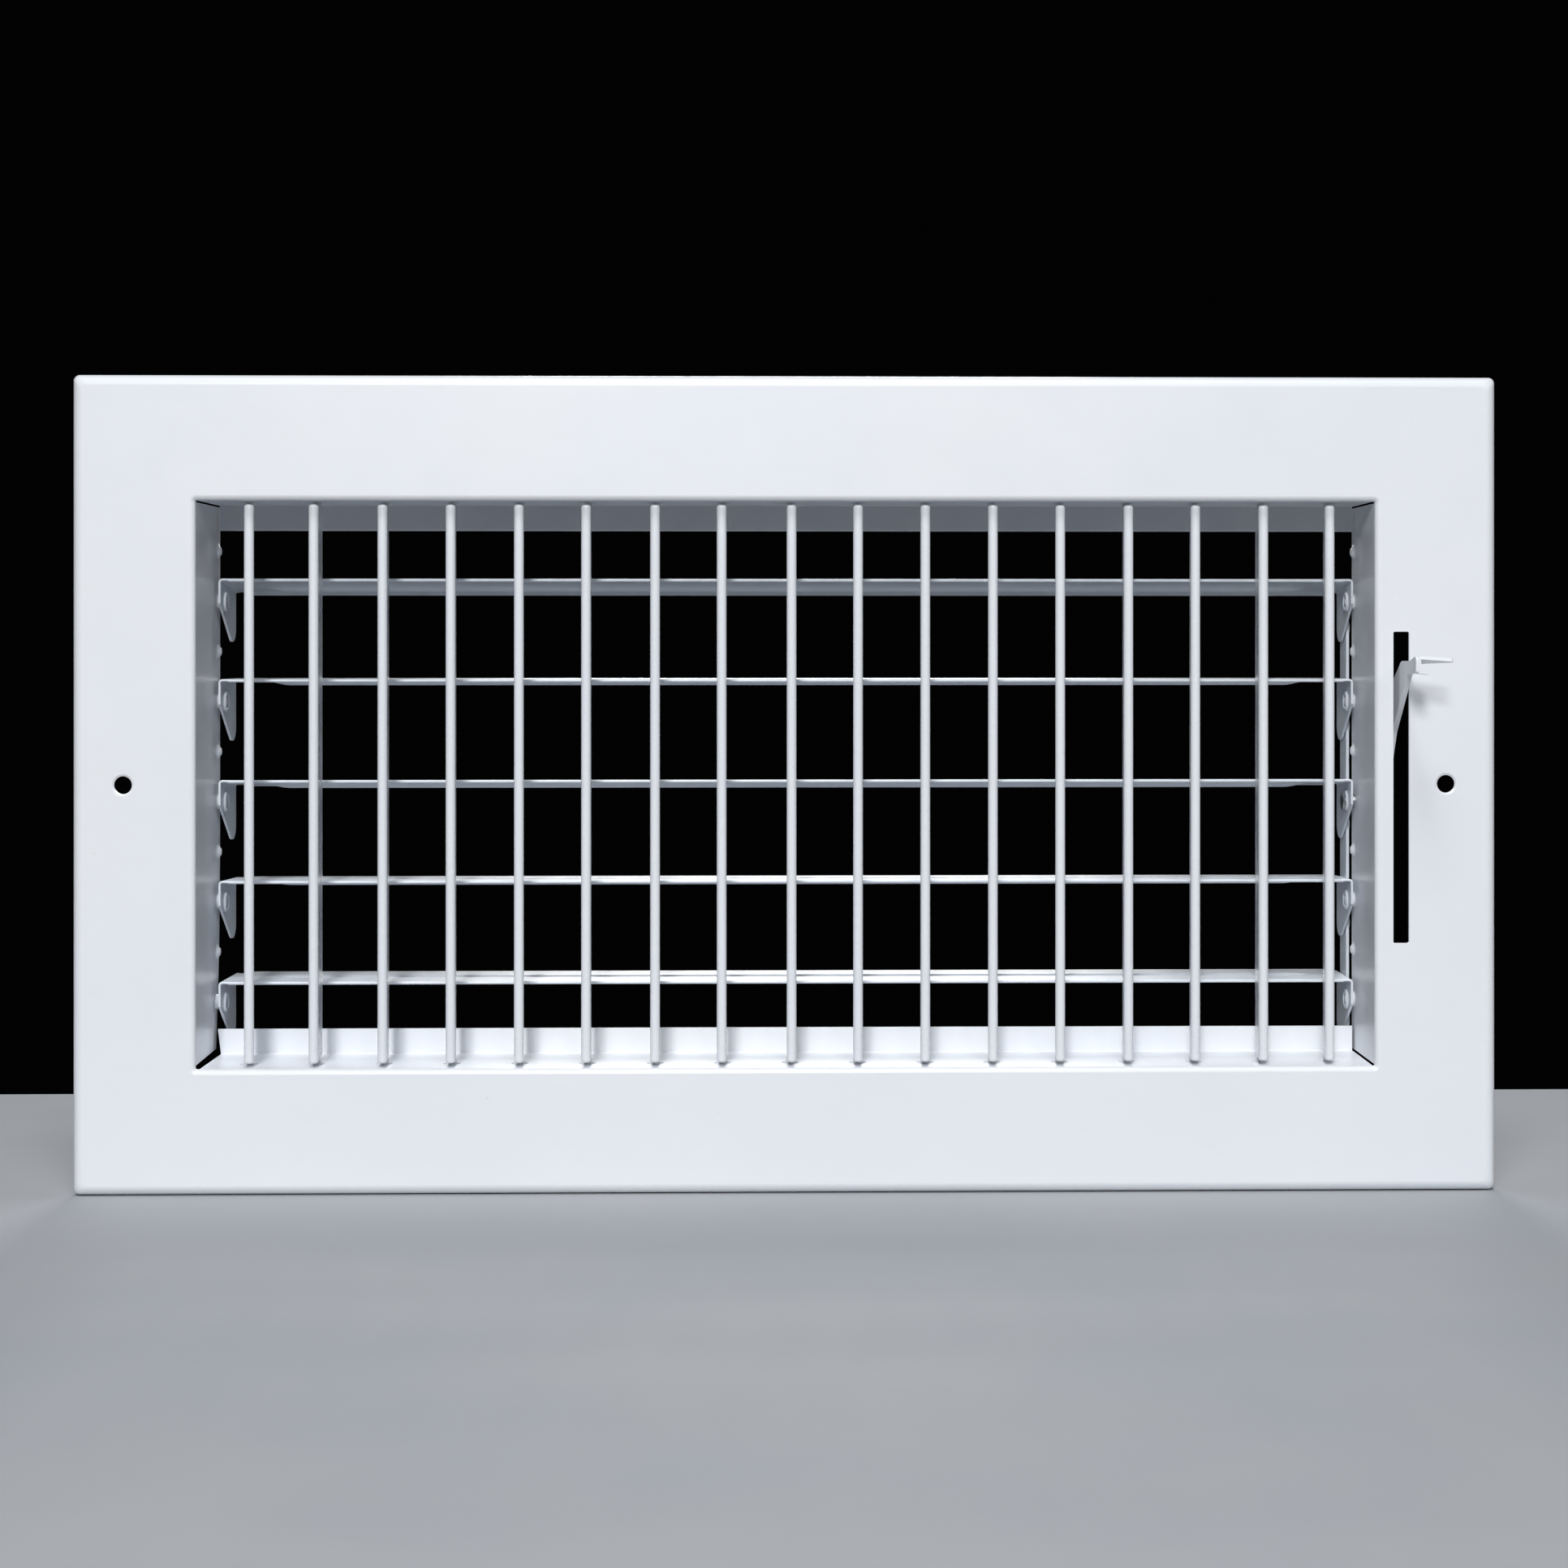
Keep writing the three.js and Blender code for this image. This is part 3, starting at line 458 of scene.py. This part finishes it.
def pressed_sheet():
    """The face, its rim and its walls: one closed sheet section swept round the opening."""
    bm = bmesh.new()
    rings = []

    def face_ring(inward, y):
        rings.append(mouth_ring(bm, HALF_FACE_X - inward, HALF_FACE_Z - inward, PLAN_CORNER, y))

    def wall_ring(outward, y):
        corner = MOUTH_CORNER + outward
        rings.append(mouth_ring(bm, HALF_MOUTH_X + outward, HALF_MOUTH_Z + outward, corner, y))

    bend_steps = 12
    quarter = [math.pi / 2 * i / bend_steps for i in range(bend_steps + 1)]
    face_ring(0, 0)
    for turn in quarter:
        face_ring(RIM_BEND * (1 - math.cos(turn)), FACE_Y + RIM_BEND * (1 - math.sin(turn)))
    for turn in quarter:
        wall_ring(MOUTH_BEND * (1 - math.sin(turn)), FACE_Y + MOUTH_BEND * (1 - math.cos(turn)))
    wall_ring(0, SIDE_WALL_Y)
    wall_ring(SHEET, SIDE_WALL_Y)
    inner_bend = MOUTH_BEND - SHEET
    for turn in quarter[::-1]:
        wall_ring(
            SHEET + inner_bend * (1 - math.sin(turn)),
            FACE_Y + SHEET + inner_bend * (1 - math.cos(turn)),
        )
    rim_inner = RIM_BEND - SHEET
    for turn in quarter[::-1]:
        face_ring(
            SHEET + rim_inner * (1 - math.cos(turn)),
            FACE_Y + SHEET + rim_inner * (1 - math.sin(turn)),
        )
    face_ring(SHEET, 0)
    for first, second in zip(rings, rings[1:] + rings[:1]):
        join_loops(bm, first, second)
    return new_piece("face_frame_sheet", bm)


def box_outline(low_u, high_u, low_v, high_v):
    return [(low_u, low_v), (high_u, low_v), (high_u, high_v), (low_u, high_v)]


def corner_cuts():
    """Gaps that part the walls at the collar's four corners."""
    bm = bmesh.new()
    beyond = 3 * MM
    for sign_x in (-1, 1):
        for sign_z in (-1, 1):
            gap = OPEN_CORNER_GAP if sign_x < 0 and sign_z < 0 else CORNER_GAP
            xs = sorted((sign_x * (HALF_MOUTH_X - gap), sign_x * (HALF_MOUTH_X + SHEET + beyond)))
            zs = sorted((sign_z * (HALF_MOUTH_Z - gap), sign_z * (HALF_MOUTH_Z + SHEET + beyond)))
            add_prism(bm, box_outline(*xs, *zs), "Y", FACE_Y + MOUTH_BEND, SIDE_WALL_Y + beyond)
    return bm


def end_wall_cuts():
    """What the top and bottom walls lack in depth beside the side walls."""
    bm = bmesh.new()
    beyond = 3 * MM
    half = HALF_MOUTH_X - 0.1 * MM
    for sign_z in (-1, 1):
        zs = sorted((sign_z * (HALF_MOUTH_Z - SHEET), sign_z * (HALF_MOUTH_Z + SHEET + beyond)))
        outline = box_outline(-half, half, *zs)
        add_prism(bm, outline, "Y", END_WALL_Y - LIP_BEND, SIDE_WALL_Y + beyond)
    return bm


def socket_cuts():
    """Funnel-shaped holes for the vanes' pins in the top and bottom walls."""
    bm = bmesh.new()
    over = 0.25 * MM
    for pin in VANE_PINS:
        for sign in (-1, 1):
            start = sign * HALF_MOUTH_Z
            profile = [
                (0, start - sign * over),
                (SOCKET_MOUTH + over, start - sign * over),
                (SOCKET_MOUTH - over, start + sign * over),
                (SOCKET_THROAT, start + sign * (SHEET - over)),
                (SOCKET_THROAT, start + sign * (SHEET + over)),
                (0, start + sign * (SHEET + over)),
            ]
            add_turned(bm, profile, "Z", pin.x, pin.y)
    return bm


def plate_cuts():
    """The dimpled screw holes, the lever's slot and the axle's hole."""
    bm = bmesh.new()
    over = 0.3 * MM
    profile = [(0, FACE_Y - over), (MOUNT_DIMPLE_RADIUS + 0.02 * MM, FACE_Y - over)]
    steps = 8
    for i in range(steps + 1):
        radius = MOUNT_DIMPLE_RADIUS + (MOUNT_HOLE_RADIUS - MOUNT_DIMPLE_RADIUS) * i / steps
        depth = MOUNT_DIMPLE_DEPTH * (1 - math.cos(math.pi * i / steps)) / 2
        profile.append((radius, FACE_Y + depth))
    profile += [(MOUNT_HOLE_RADIUS, FACE_Y + SHEET + over), (0, FACE_Y + SHEET + over)]
    for sign in (-1, 1):
        add_turned(bm, profile, "Y", sign * (HALF_FACE_X - MOUNT_HOLE_INSET), 0, 48)
    reach = PIVOT_Y - FACE_Y
    top = LEVER_Z + reach * math.tan(math.radians(SLOT_TOP_ANGLE))
    bottom = LEVER_Z - reach * math.tan(math.radians(SLOT_BOTTOM_ANGLE))
    corners = box_outline(LEVER_X - SLOT_WIDTH / 2, LEVER_X + SLOT_WIDTH / 2, bottom, top)
    add_prism(bm, rounded(corners, [SLOT_CORNER] * 4), "Y", FACE_Y - over, FACE_Y + SHEET + over)
    ends = (HALF_MOUTH_X - over, HALF_MOUTH_X + SHEET + over)
    add_rod(bm, AXLE + RUNNING_GAP, ends, "X", PIVOT_Y, LEVER_Z)
    return bm


def add_lip(bm, sign):
    """The rear edge of a top or bottom wall, rolled over into its inward lip."""
    start_y = END_WALL_Y - LIP_BEND
    wall = HALF_MOUTH_Z
    outer = arc((start_y, wall + SHEET - LIP_BEND), LIP_BEND, 90, 0, 8)
    inner_bend = LIP_BEND - SHEET
    inner = arc((start_y, wall - inner_bend), inner_bend, 0, 90, 4)
    edge = wall - LIP_HEIGHT
    nose = SHEET * 0.3
    outline = outer + [(END_WALL_Y, edge + nose), (END_WALL_Y - nose, edge)]
    outline += [(END_WALL_Y - SHEET + nose, edge), (END_WALL_Y - SHEET, edge + nose)] + inner
    low = -HALF_MOUTH_X + (OPEN_CORNER_GAP if sign < 0 else LIP_END_GAP)
    add_prism(bm, [(y, sign * z) for y, z in outline], "X", low, HALF_MOUTH_X - LIP_END_GAP)


def add_nub(bm, sign, z, height):
    """A pressed pivot: a cone with a rounded tip and a flared foot."""
    root = -SHEET / 2
    flare = 0.35 * MM
    profile = [
        (0, root),
        (PIVOT_BASE + flare, root),
        (PIVOT_BASE + flare, 0),
        (PIVOT_BASE, 0.12 * MM),
        (PIVOT_TIP + 0.15 * MM, height - 0.35 * MM),
        (PIVOT_TIP - 0.1 * MM, height - 0.1 * MM),
        (PIVOT_TIP - 0.4 * MM, height),
        (0, height),
    ]
    add_turned(bm, [(radius, sign * (HALF_MOUTH_X - inward)) for radius, inward in profile], "X", PIVOT_Y, z)


def lean_left_wall(piece):
    """The left wall was bent a little too far open towards its lower end."""
    front = FACE_Y + MOUTH_BEND
    inside = PIVOT_HEIGHT + SHEET
    near = 0.1 * MM
    for vertex in piece.data.vertices:
        point = vertex.co
        if not -HALF_MOUTH_X - 2 * SHEET <= point.x <= -HALF_MOUTH_X + inside:
            continue
        if point.y <= front + near or abs(point.z) > HALF_MOUTH_Z - CORNER_GAP + near:
            continue
        back = (point.y - front) / (SIDE_WALL_Y - front)
        low = max(0, -point.z / HALF_MOUTH_Z) ** 3
        point.x -= LEFT_WALL_LEAN * back * low


def make_face_frame():
    piece = pressed_sheet()
    combine(piece, new_piece("corners", corner_cuts()), "DIFFERENCE")
    combine(piece, new_piece("end_walls", end_wall_cuts()), "DIFFERENCE")
    lips = bmesh.new()
    add_lip(lips, -1)
    add_lip(lips, 1)
    combine(piece, new_piece("lips", lips), "UNION")
    nubs = bmesh.new()
    for i, z in enumerate(PIVOT_ZS):
        for sign in (-1, 1):
            if sign < 0 or i + 1 != LEVER_BLADE:
                add_nub(nubs, sign, z, PIVOT_HEIGHT)
            add_nub(nubs, sign, z + DAMPER_PITCH / 2, SPARE_PIVOT_HEIGHT)
    combine(piece, new_piece("nubs", nubs), "UNION")
    combine(piece, new_piece("sockets", socket_cuts()), "DIFFERENCE")
    combine(piece, new_piece("holes", plate_cuts()), "DIFFERENCE")
    lean_left_wall(piece)
    piece.name = "face_frame_formed"
    smooth(piece, 38)
    place(piece, "frame", "face_enamel", FACE_ENAMEL, "face_frame")


# ---------- vanes ----------


def vane_section(inset):
    """The teardrop section, drawn in a little for the rounded ends."""
    share = inset / VANE_NOSE
    nose = VANE_NOSE * (1 - share)
    tail = VANE_TAIL * (1 - share)
    front = arc((0, VANE_NOSE - VANE_FRONT), nose, 180, 360, 20)
    rear = arc((0, VANE_REAR - VANE_TAIL), tail, 0, 180, 10)
    return front + rear


def make_vane(name, pin, turn):
    bm = bmesh.new()
    top = HALF_MOUTH_Z - VANE_TOP_GAP
    bottom = -HALF_MOUTH_Z + VANE_BOTTOM_GAP
    steps = 6
    heights = []
    for i in range(steps + 1):
        angle = math.pi / 2 * i / steps
        inset = VANE_END_ROUNDING * (1 - math.sin(angle))
        heights.append((bottom + VANE_END_ROUNDING * (1 - math.cos(angle)), inset))
    heights += [(top - (z - bottom), inset) for z, inset in heights[::-1]]
    loops = [[bm.verts.new((x, y, z)) for x, y in vane_section(inset)] for z, inset in heights]
    bm.faces.new(loops[0])
    bm.faces.new(loops[-1][::-1])
    for first, second in zip(loops, loops[1:]):
        join_loops(bm, first, second)
    reach = HALF_MOUTH_Z + SHEET + VANE_PIN_PROUD
    chamfer = 0.25 * MM
    for sign, start in ((-1, bottom + 0.2 * MM), (1, top - 0.2 * MM)):
        profile = [
            (0, start),
            (VANE_PIN, start),
            (VANE_PIN, sign * (reach - chamfer)),
            (VANE_PIN - chamfer, sign * reach),
            (0, sign * reach),
        ]
        add_turned(bm, profile, "Z", 0, 0, 24)
    move_all(bm, pin, (-turn, "Z"))
    piece = new_piece(name + "_rolled", bm)
    smooth(piece)
    place(piece, name, "vane_enamel", VANE_ENAMEL, name)


# ---------- damper blades ----------


def blade_stations():
    """Places along the folded strip: outer surface point (x, z), inward normal, and 1 on the flat part."""
    stations = []
    low = -LINK_BELOW - TAB_TIP - 0.5 * MM
    top = BLADE_RISE + BLADE_SHEET / 2
    for z in (low, 0, top - BLADE_BEND):
        stations.append(((TAB_X, z), (-1, 0), 0))
    for x, z in arc((TAB_X - BLADE_BEND, top - BLADE_BEND), BLADE_BEND, 0, 90, 8)[1:]:
        normal = ((TAB_X - BLADE_BEND - x) / BLADE_BEND, (top - BLADE_BEND - z) / BLADE_BEND)
        stations.append(((x, z), normal, 0))
    inner = TAB_X - RELIEF
    bead_end = TAB_X - BEAD_END_MARGIN
    flats = [inner + 0.4 * MM, inner, inner - 0.5 * MM, bead_end + 1 * MM]
    taper_steps = 10
    flats += [bead_end - BEAD_TAPER * i / taper_steps for i in range(taper_steps + 1)]
    middle_steps = 12
    flats += [(bead_end - BEAD_TAPER) * (1 - i / middle_steps) for i in range(1, middle_steps + 1)]
    for x in flats:
        stations.append(((x, top), (0, -1), 1 if x <= inner + 0.01 * MM else 0))
    mirrored = [((-x, z), (-nx, nz), flat) for (x, z), (nx, nz), flat in stations[:-1]]
    return mirrored + stations[::-1]


def bead_drop(x, y):
    """How far the pressed bead lowers the sheet at a place on it."""
    bead_end = TAB_X - BEAD_END_MARGIN
    share = min(1, max(0, (bead_end - abs(x)) / BEAD_TAPER))
    ease = share * share * (3 - 2 * share)
    half_width = BEAD_HALF_WIDTH * (BEAD_NARROW_END + (1 - BEAD_NARROW_END) * ease)
    across = abs(y - BEAD_BEHIND) / half_width
    if across >= 1:
        return 0
    return BEAD_DEPTH * ease * (1 + math.cos(math.pi * across)) / 2


def blade_loop(flat):
    """The strip's section as (y, depth below the outer surface), with its edges rounded."""
    def thickness(y):
        if not flat:
            return BLADE_SHEET
        edge = min(y + BLADE_FRONT, BLADE_REAR - y)
        share = min(1, max(0, (HEM_WIDTH - edge) / HEM_STEP))
        return BLADE_SHEET + (HEM_THICKNESS - BLADE_SHEET) * share

    edge_round = thickness(-BLADE_FRONT) / 2
    bead = [BEAD_BEHIND + BEAD_HALF_WIDTH * (i / 8 - 1) for i in range(17)]
    ys = [-BLADE_FRONT + HEM_WIDTH - HEM_STEP, -BLADE_FRONT + HEM_WIDTH, *bead]
    ys += [BLADE_REAR - HEM_WIDTH, BLADE_REAR - HEM_WIDTH + HEM_STEP]
    top = [(y, 0) for y in ys]
    bottom = [(y, thickness(y)) for y in ys[::-1]]
    rear = arc((BLADE_REAR - edge_round, edge_round), edge_round, -90, 90, 8)
    front = arc((-BLADE_FRONT + edge_round, edge_round), edge_round, 90, 270, 8)
    return top + rear + bottom + front


def tab_waste():
    """What is trimmed from the folded strip to leave each tab's outline, as (y, z)."""
    tip = Vector((LINK_BEHIND, -LINK_BELOW))
    shoulder = Vector((-BLADE_FRONT, -TAB_SHOULDER))
    away = shoulder - tip
    start = math.degrees(math.atan2(away.y, away.x) + math.acos(TAB_TIP / away.length))
    high = BLADE_RISE + 4 * MM
    far = 6 * MM
    outline = [tuple(shoulder)] + arc(tip, TAB_TIP, start % 360, 360, 24)
    outline += [(TAB_REAR, high), (BLADE_REAR + far, high), (BLADE_REAR + far, -LINK_BELOW - TAB_TIP - far)]
    outline += [(-BLADE_FRONT - far, -LINK_BELOW - TAB_TIP - far), (-BLADE_FRONT - far, -TAB_SHOULDER)]
    return outline


def blade_cuts():
    bm = bmesh.new()
    for sign in (-1, 1):
        xs = sorted((sign * (TAB_X - RELIEF), sign * (TAB_X + 2 * MM)))
        add_prism(bm, tab_waste(), "X", *xs)
    return bm


def hole_cuts():
    """The tabs' pivot holes, and the round ends of the notches beside the folds."""
    bm = bmesh.new()
    high = BLADE_RISE + 3 * MM
    for sign in (-1, 1):
        ends = sorted((sign * (TAB_X - 2 * MM), sign * (TAB_X + 2 * MM)))
        add_rod(bm, RING_HOLE, ends, "X", 0, 0)
        add_rod(bm, RELIEF_ROUND, (0, high), "Z", sign * (TAB_X - RELIEF + 0.3 * MM), TAB_REAR, 24)
    return bm


def add_ring(bm, sign):
    """The raised collar round a tab's pivot hole."""
    wall = TAB_X - BLADE_SHEET
    section = [
        (RING_HOLE - 0.02 * MM, wall + 0.1 * MM),
        (RING_HOLE - 0.02 * MM, wall - RING_HEIGHT + 0.12 * MM),
        (RING_HOLE + 0.15 * MM, wall - RING_HEIGHT),
        (RING_OUTER - 0.25 * MM, wall - RING_HEIGHT),
        (RING_OUTER, wall - RING_HEIGHT + 0.25 * MM),
        (RING_OUTER + 0.15 * MM, wall + 0.1 * MM),
    ]
    sides = 32
    loops = []
    for radius, x in section:
        loops.append([bm.verts.new((sign * x, y, z)) for y, z in arc((0, 0), radius, 0, 360, sides)[:-1]])
    for first, second in zip(loops, loops[1:] + loops[:1]):
        join_loops(bm, first, second)


def dome(radius, base, height, steps=5):
    """Profile of a peened head, from its edge to the axis."""
    points = []
    for i in range(steps + 1):
        turn = math.pi / 2 * i / steps
        points.append((radius * math.cos(turn), base + height * math.sin(turn)))
    points[-1] = (0, base + height)
    return points


def blade_bosses():
    """The link's pivots on the tabs: one peened over the bar, and a spare on the left."""
    bm = bmesh.new()
    sides = 28
    bar = TAB_X + LINK_GAP + LINK_SHEET + RUNNING_GAP
    inner = TAB_X - BLADE_SHEET / 2
    rim = 0.15 * MM
    head = [(0, inner), (LINK_BOSS, inner), (LINK_BOSS, bar), (LINK_HEAD, bar)]
    head += dome(LINK_HEAD, bar + rim, LINK_HEAD_HEIGHT - rim)
    add_turned(bm, head, "X", LINK_BEHIND, -LINK_BELOW, sides)
    spare_rise = 0.3 * MM
    spare = [(0, inner), (LINK_BOSS, inner)] + dome(LINK_BOSS, TAB_X + spare_rise, spare_rise)
    add_turned(bm, [(radius, -along) for radius, along in spare], "X", LINK_BEHIND, -LINK_BELOW, sides)
    return bm


def droop_sheet(piece, droop):
    """Drop the sheet's rear, and the upper part of its tabs with it; the tabs' lower parts stay put."""
    slope = math.tan(math.radians(droop))
    for vertex in piece.data.vertices:
        share = min(1, max(0, vertex.co.z / (BLADE_RISE - BLADE_BEND)))
        vertex.co.z += (vertex.co.y + BLADE_FRONT) * slope * share


def make_blade(number, droop, pivot_z):
    bm = bmesh.new()
    loops = []
    for (x, z), (nx, nz), flat in blade_stations():
        loop = []
        for y, depth in blade_loop(flat):
            drop = depth + (bead_drop(x, y) if nz == -1 else 0)
            loop.append(bm.verts.new((x + nx * drop, y, z + nz * drop)))
        loops.append(loop)
    bm.faces.new(loops[0])
    bm.faces.new(loops[-1][::-1])
    for first, second in zip(loops, loops[1:]):
        join_loops(bm, first, second)
    piece = new_piece(f"damper_blade_{number}_folded", bm)
    combine(piece, new_piece("waste", blade_cuts()), "DIFFERENCE")
    droop_sheet(piece, droop)
    rings = bmesh.new()
    add_ring(rings, -1)
    add_ring(rings, 1)
    combine(piece, new_piece("bosses", blade_bosses()), "UNION")
    combine(piece, new_piece("rings", rings), "UNION")
    combine(piece, new_piece("holes", hole_cuts()), "DIFFERENCE")
    piece.data.transform(Matrix.Translation((0, PIVOT_Y, pivot_z)))
    smooth(piece)
    place(piece, f"damper_{number}", "damper_enamel", DAMPER_ENAMEL, f"damper_blade_{number}")


# ---------- link bar, lever and axle ----------


def make_link_bar():
    bm = bmesh.new()
    y = PIVOT_Y + LINK_BEHIND
    top = PIVOT_ZS[0] - LINK_BELOW
    bottom = PIVOT_ZS[-1] - LINK_BELOW
    outline = arc((y, top), LINK_HALF_WIDTH, 0, 180, 20) + arc((y, bottom), LINK_HALF_WIDTH, 180, 360, 20)
    low = TAB_X + LINK_GAP
    add_prism(bm, outline, "X", low, low + LINK_SHEET)
    piece = new_piece("link_bar_strip", bm)
    holes = bmesh.new()
    for z in PIVOT_ZS:
        add_rod(holes, LINK_BOSS + LINK_BOSS_CLEARANCE, (low - MM, low + 2 * MM), "X", y, z - LINK_BELOW, 28)
    combine(piece, new_piece("holes", holes), "DIFFERENCE")
    soften(piece, 0.15 * MM)
    smooth(piece)
    place(piece, "link", "damper_enamel", DAMPER_ENAMEL, "damper_link_bar")


def make_lever():
    reach = PIVOT_Y - FACE_Y
    rise = reach * math.tan(math.radians(LEVER_ANGLE))

    def from_pivot(point):
        return (-reach - point[0] * MM, rise + point[1] * MM)

    def at_pivot(y, z):
        return (PIVOT_Y + y, LEVER_Z + z)

    head_front = HEAD_TOP[0] + LEVER_HEAD / MM
    climb = LEVER_HEAD / MM * math.tan(math.radians(GRIP_TILT))
    hub = arc((0, 0), LEVER_HUB, HUB_START_ANGLE, HUB_END_ANGLE, 28)
    corners = [ARM_TOP, KNEE, HEAD_TOP, (head_front, HEAD_TOP[1] + climb)]
    corners += [(head_front, HEAD_BOTTOM[1]), ARM_ELBOW, ARM_BOTTOM]
    radii = [0, 6 * MM, 5 * MM, 2 * MM, 1 * MM, 0.8 * MM, 3 * MM, 8 * MM, 0]
    arm = rounded([hub[-1], *map(from_pivot, corners), hub[0]], radii)
    outline = [at_pivot(y, z) for y, z in hub[1:-1] + arm]
    bm = bmesh.new()
    add_prism(bm, outline, "X", LEVER_X - LEVER_SHEET / 2, LEVER_X + LEVER_SHEET / 2)
    piece = new_piece("lever_stamped", bm)

    plan = [(0, 0), (GRIP_LENGTH, GRIP_TIP - LEVER_HEAD), (GRIP_LENGTH, -LEVER_HEAD), (0, -LEVER_HEAD)]
    flange = bmesh.new()
    add_prism(flange, rounded(plan, [0, 0.6 * MM, 0.5 * MM, 0]), "Z", -GRIP_SHEET, 0)
    move_all(flange, (LEVER_X, *at_pivot(*from_pivot(HEAD_TOP))), (GRIP_DROOP, "Y"), (-GRIP_TILT, "X"))
    combine(piece, new_piece("grip", flange), "UNION")
    foot = bmesh.new()
    add_prism(foot, box_outline(0, FOOT_LENGTH, -LEVER_HEAD, 0), "Z", 0, FOOT_SHEET)
    move_all(foot, (LEVER_X, *at_pivot(*from_pivot(HEAD_BOTTOM))), (FOOT_TILT, "Y"))
    combine(piece, new_piece("foot", foot), "UNION")
    hole = bmesh.new()
    add_rod(hole, AXLE + RUNNING_GAP, (LEVER_X - 2 * MM, LEVER_X + 2 * MM), "X", PIVOT_Y, LEVER_Z)
    combine(piece, new_piece("hole", hole), "DIFFERENCE")
    soften(piece, 0.38 * MM, 4)
    smooth(piece)
    place(piece, f"damper_{LEVER_BLADE}", "face_enamel", FACE_ENAMEL, "damper_lever")


def make_axle():
    bm = bmesh.new()
    inner = TAB_X - BLADE_SHEET - RING_HEIGHT - RUNNING_GAP
    shoulder = HALF_MOUTH_X + SHEET + RUNNING_GAP
    lever_in = LEVER_X - LEVER_SHEET / 2 - RUNNING_GAP
    lever_out = LEVER_X + LEVER_SHEET / 2 + RUNNING_GAP
    chamfer = 0.2 * MM
    inner_head = dome(AXLE_HEAD, inner, AXLE_HEAD_HEIGHT)[::-1]
    profile = [(radius, 2 * inner - along) for radius, along in inner_head]
    profile += [
        (AXLE, inner),
        (AXLE, shoulder),
        (AXLE_SHOULDER - chamfer, shoulder),
        (AXLE_SHOULDER, shoulder + chamfer),
        (AXLE_SHOULDER, lever_in - chamfer),
        (AXLE_SHOULDER - chamfer, lever_in),
        (AXLE, lever_in),
        (AXLE, lever_out),
    ]
    profile += dome(AXLE_HEAD, lever_out, AXLE_HEAD_HEIGHT)
    add_turned(bm, profile, "X", PIVOT_Y, LEVER_Z)
    piece = new_piece("lever_axle_turned", bm)
    smooth(piece)
    place(piece, f"damper_{LEVER_BLADE}", "bare_steel", STEEL, "lever_axle")


# ---------- studio ----------


def area_light(name, position, target, size, power, colour=(1, 1, 1)):
    data = bpy.data.lights.new(name, "AREA")
    data.shape = "RECTANGLE"
    data.size, data.size_y = size
    data.energy = power
    data.color = colour
    light = bpy.data.objects.new(name, data)
    light.location = position
    direction = Vector(target) - Vector(position)
    light.rotation_euler = direction.to_track_quat("-Z", "Y").to_euler()
    bpy.context.scene.collection.objects.link(light)


def make_floor():
    bm = bmesh.new()
    top = FACE_LOW.z - FLOOR_GAP
    outline = box_outline(-FLOOR_HALF_WIDTH, FLOOR_HALF_WIDTH, FLOOR_FRONT, FLOOR_REAR)
    add_prism(bm, rounded(outline, [FLOOR_CORNER] * 4, 12), "Z", top - FLOOR_THICKNESS, top)
    floor = new_piece("studio_floor", bm)
    floor.data.materials.append(floor_paint("studio floor"))


def make_studio():
    make_floor()
    world = bpy.data.worlds.new("studio")
    world.use_nodes = True
    background = world.node_tree.nodes["Background"]
    background.inputs["Color"].default_value = (0.0008, 0.0008, 0.0009, 1)
    bpy.context.scene.world = world
    bpy.context.scene.view_settings.view_transform = "Standard"
    area_light("key", (-0.15, -1.75, 0.85), (0, 0, 0), (0.25, 0.4), 24)
    area_light("overhead", (0, -1.0, 2.15), (0, 0, 0), (0.6, 0.6), 28, (0.96, 0.98, 1))
    area_light("right fill", (0.8, -1.5, 0.7), (0, 0, 0), (0.4, 0.6), 3)
    area_light("rear fill", (0, 1.5, 0.6), (0, 0, 0), (0.5, 0.5), 8)


def make_camera():
    """About 0.7 m in front of the grille and a little above its middle, looking level."""
    data = bpy.data.cameras.new("camera")
    data.sensor_width = 36
    data.lens = 63.58
    data.shift_x = -0.0507
    data.shift_y = -0.0892
    camera = bpy.data.objects.new("camera", data)
    camera.location = (4.7 * MM, -686.6 * MM, 34.5 * MM)
    camera.rotation_euler = (math.radians(90), 0, math.radians(-1.175))
    bpy.context.scene.collection.objects.link(camera)
    bpy.context.scene.camera = camera


make_camera()
make_studio()
make_face_frame()
for vane_name, vane_pin, vane_turn in zip(VANE_NAMES, VANE_PINS, VANE_TURNS):
    make_vane(vane_name, vane_pin, vane_turn)
for blade_number, (blade_droop, blade_z) in enumerate(zip(BLADE_DROOPS, PIVOT_ZS), 1):
    make_blade(blade_number, blade_droop, blade_z)
make_link_bar()
make_lever()
make_axle()
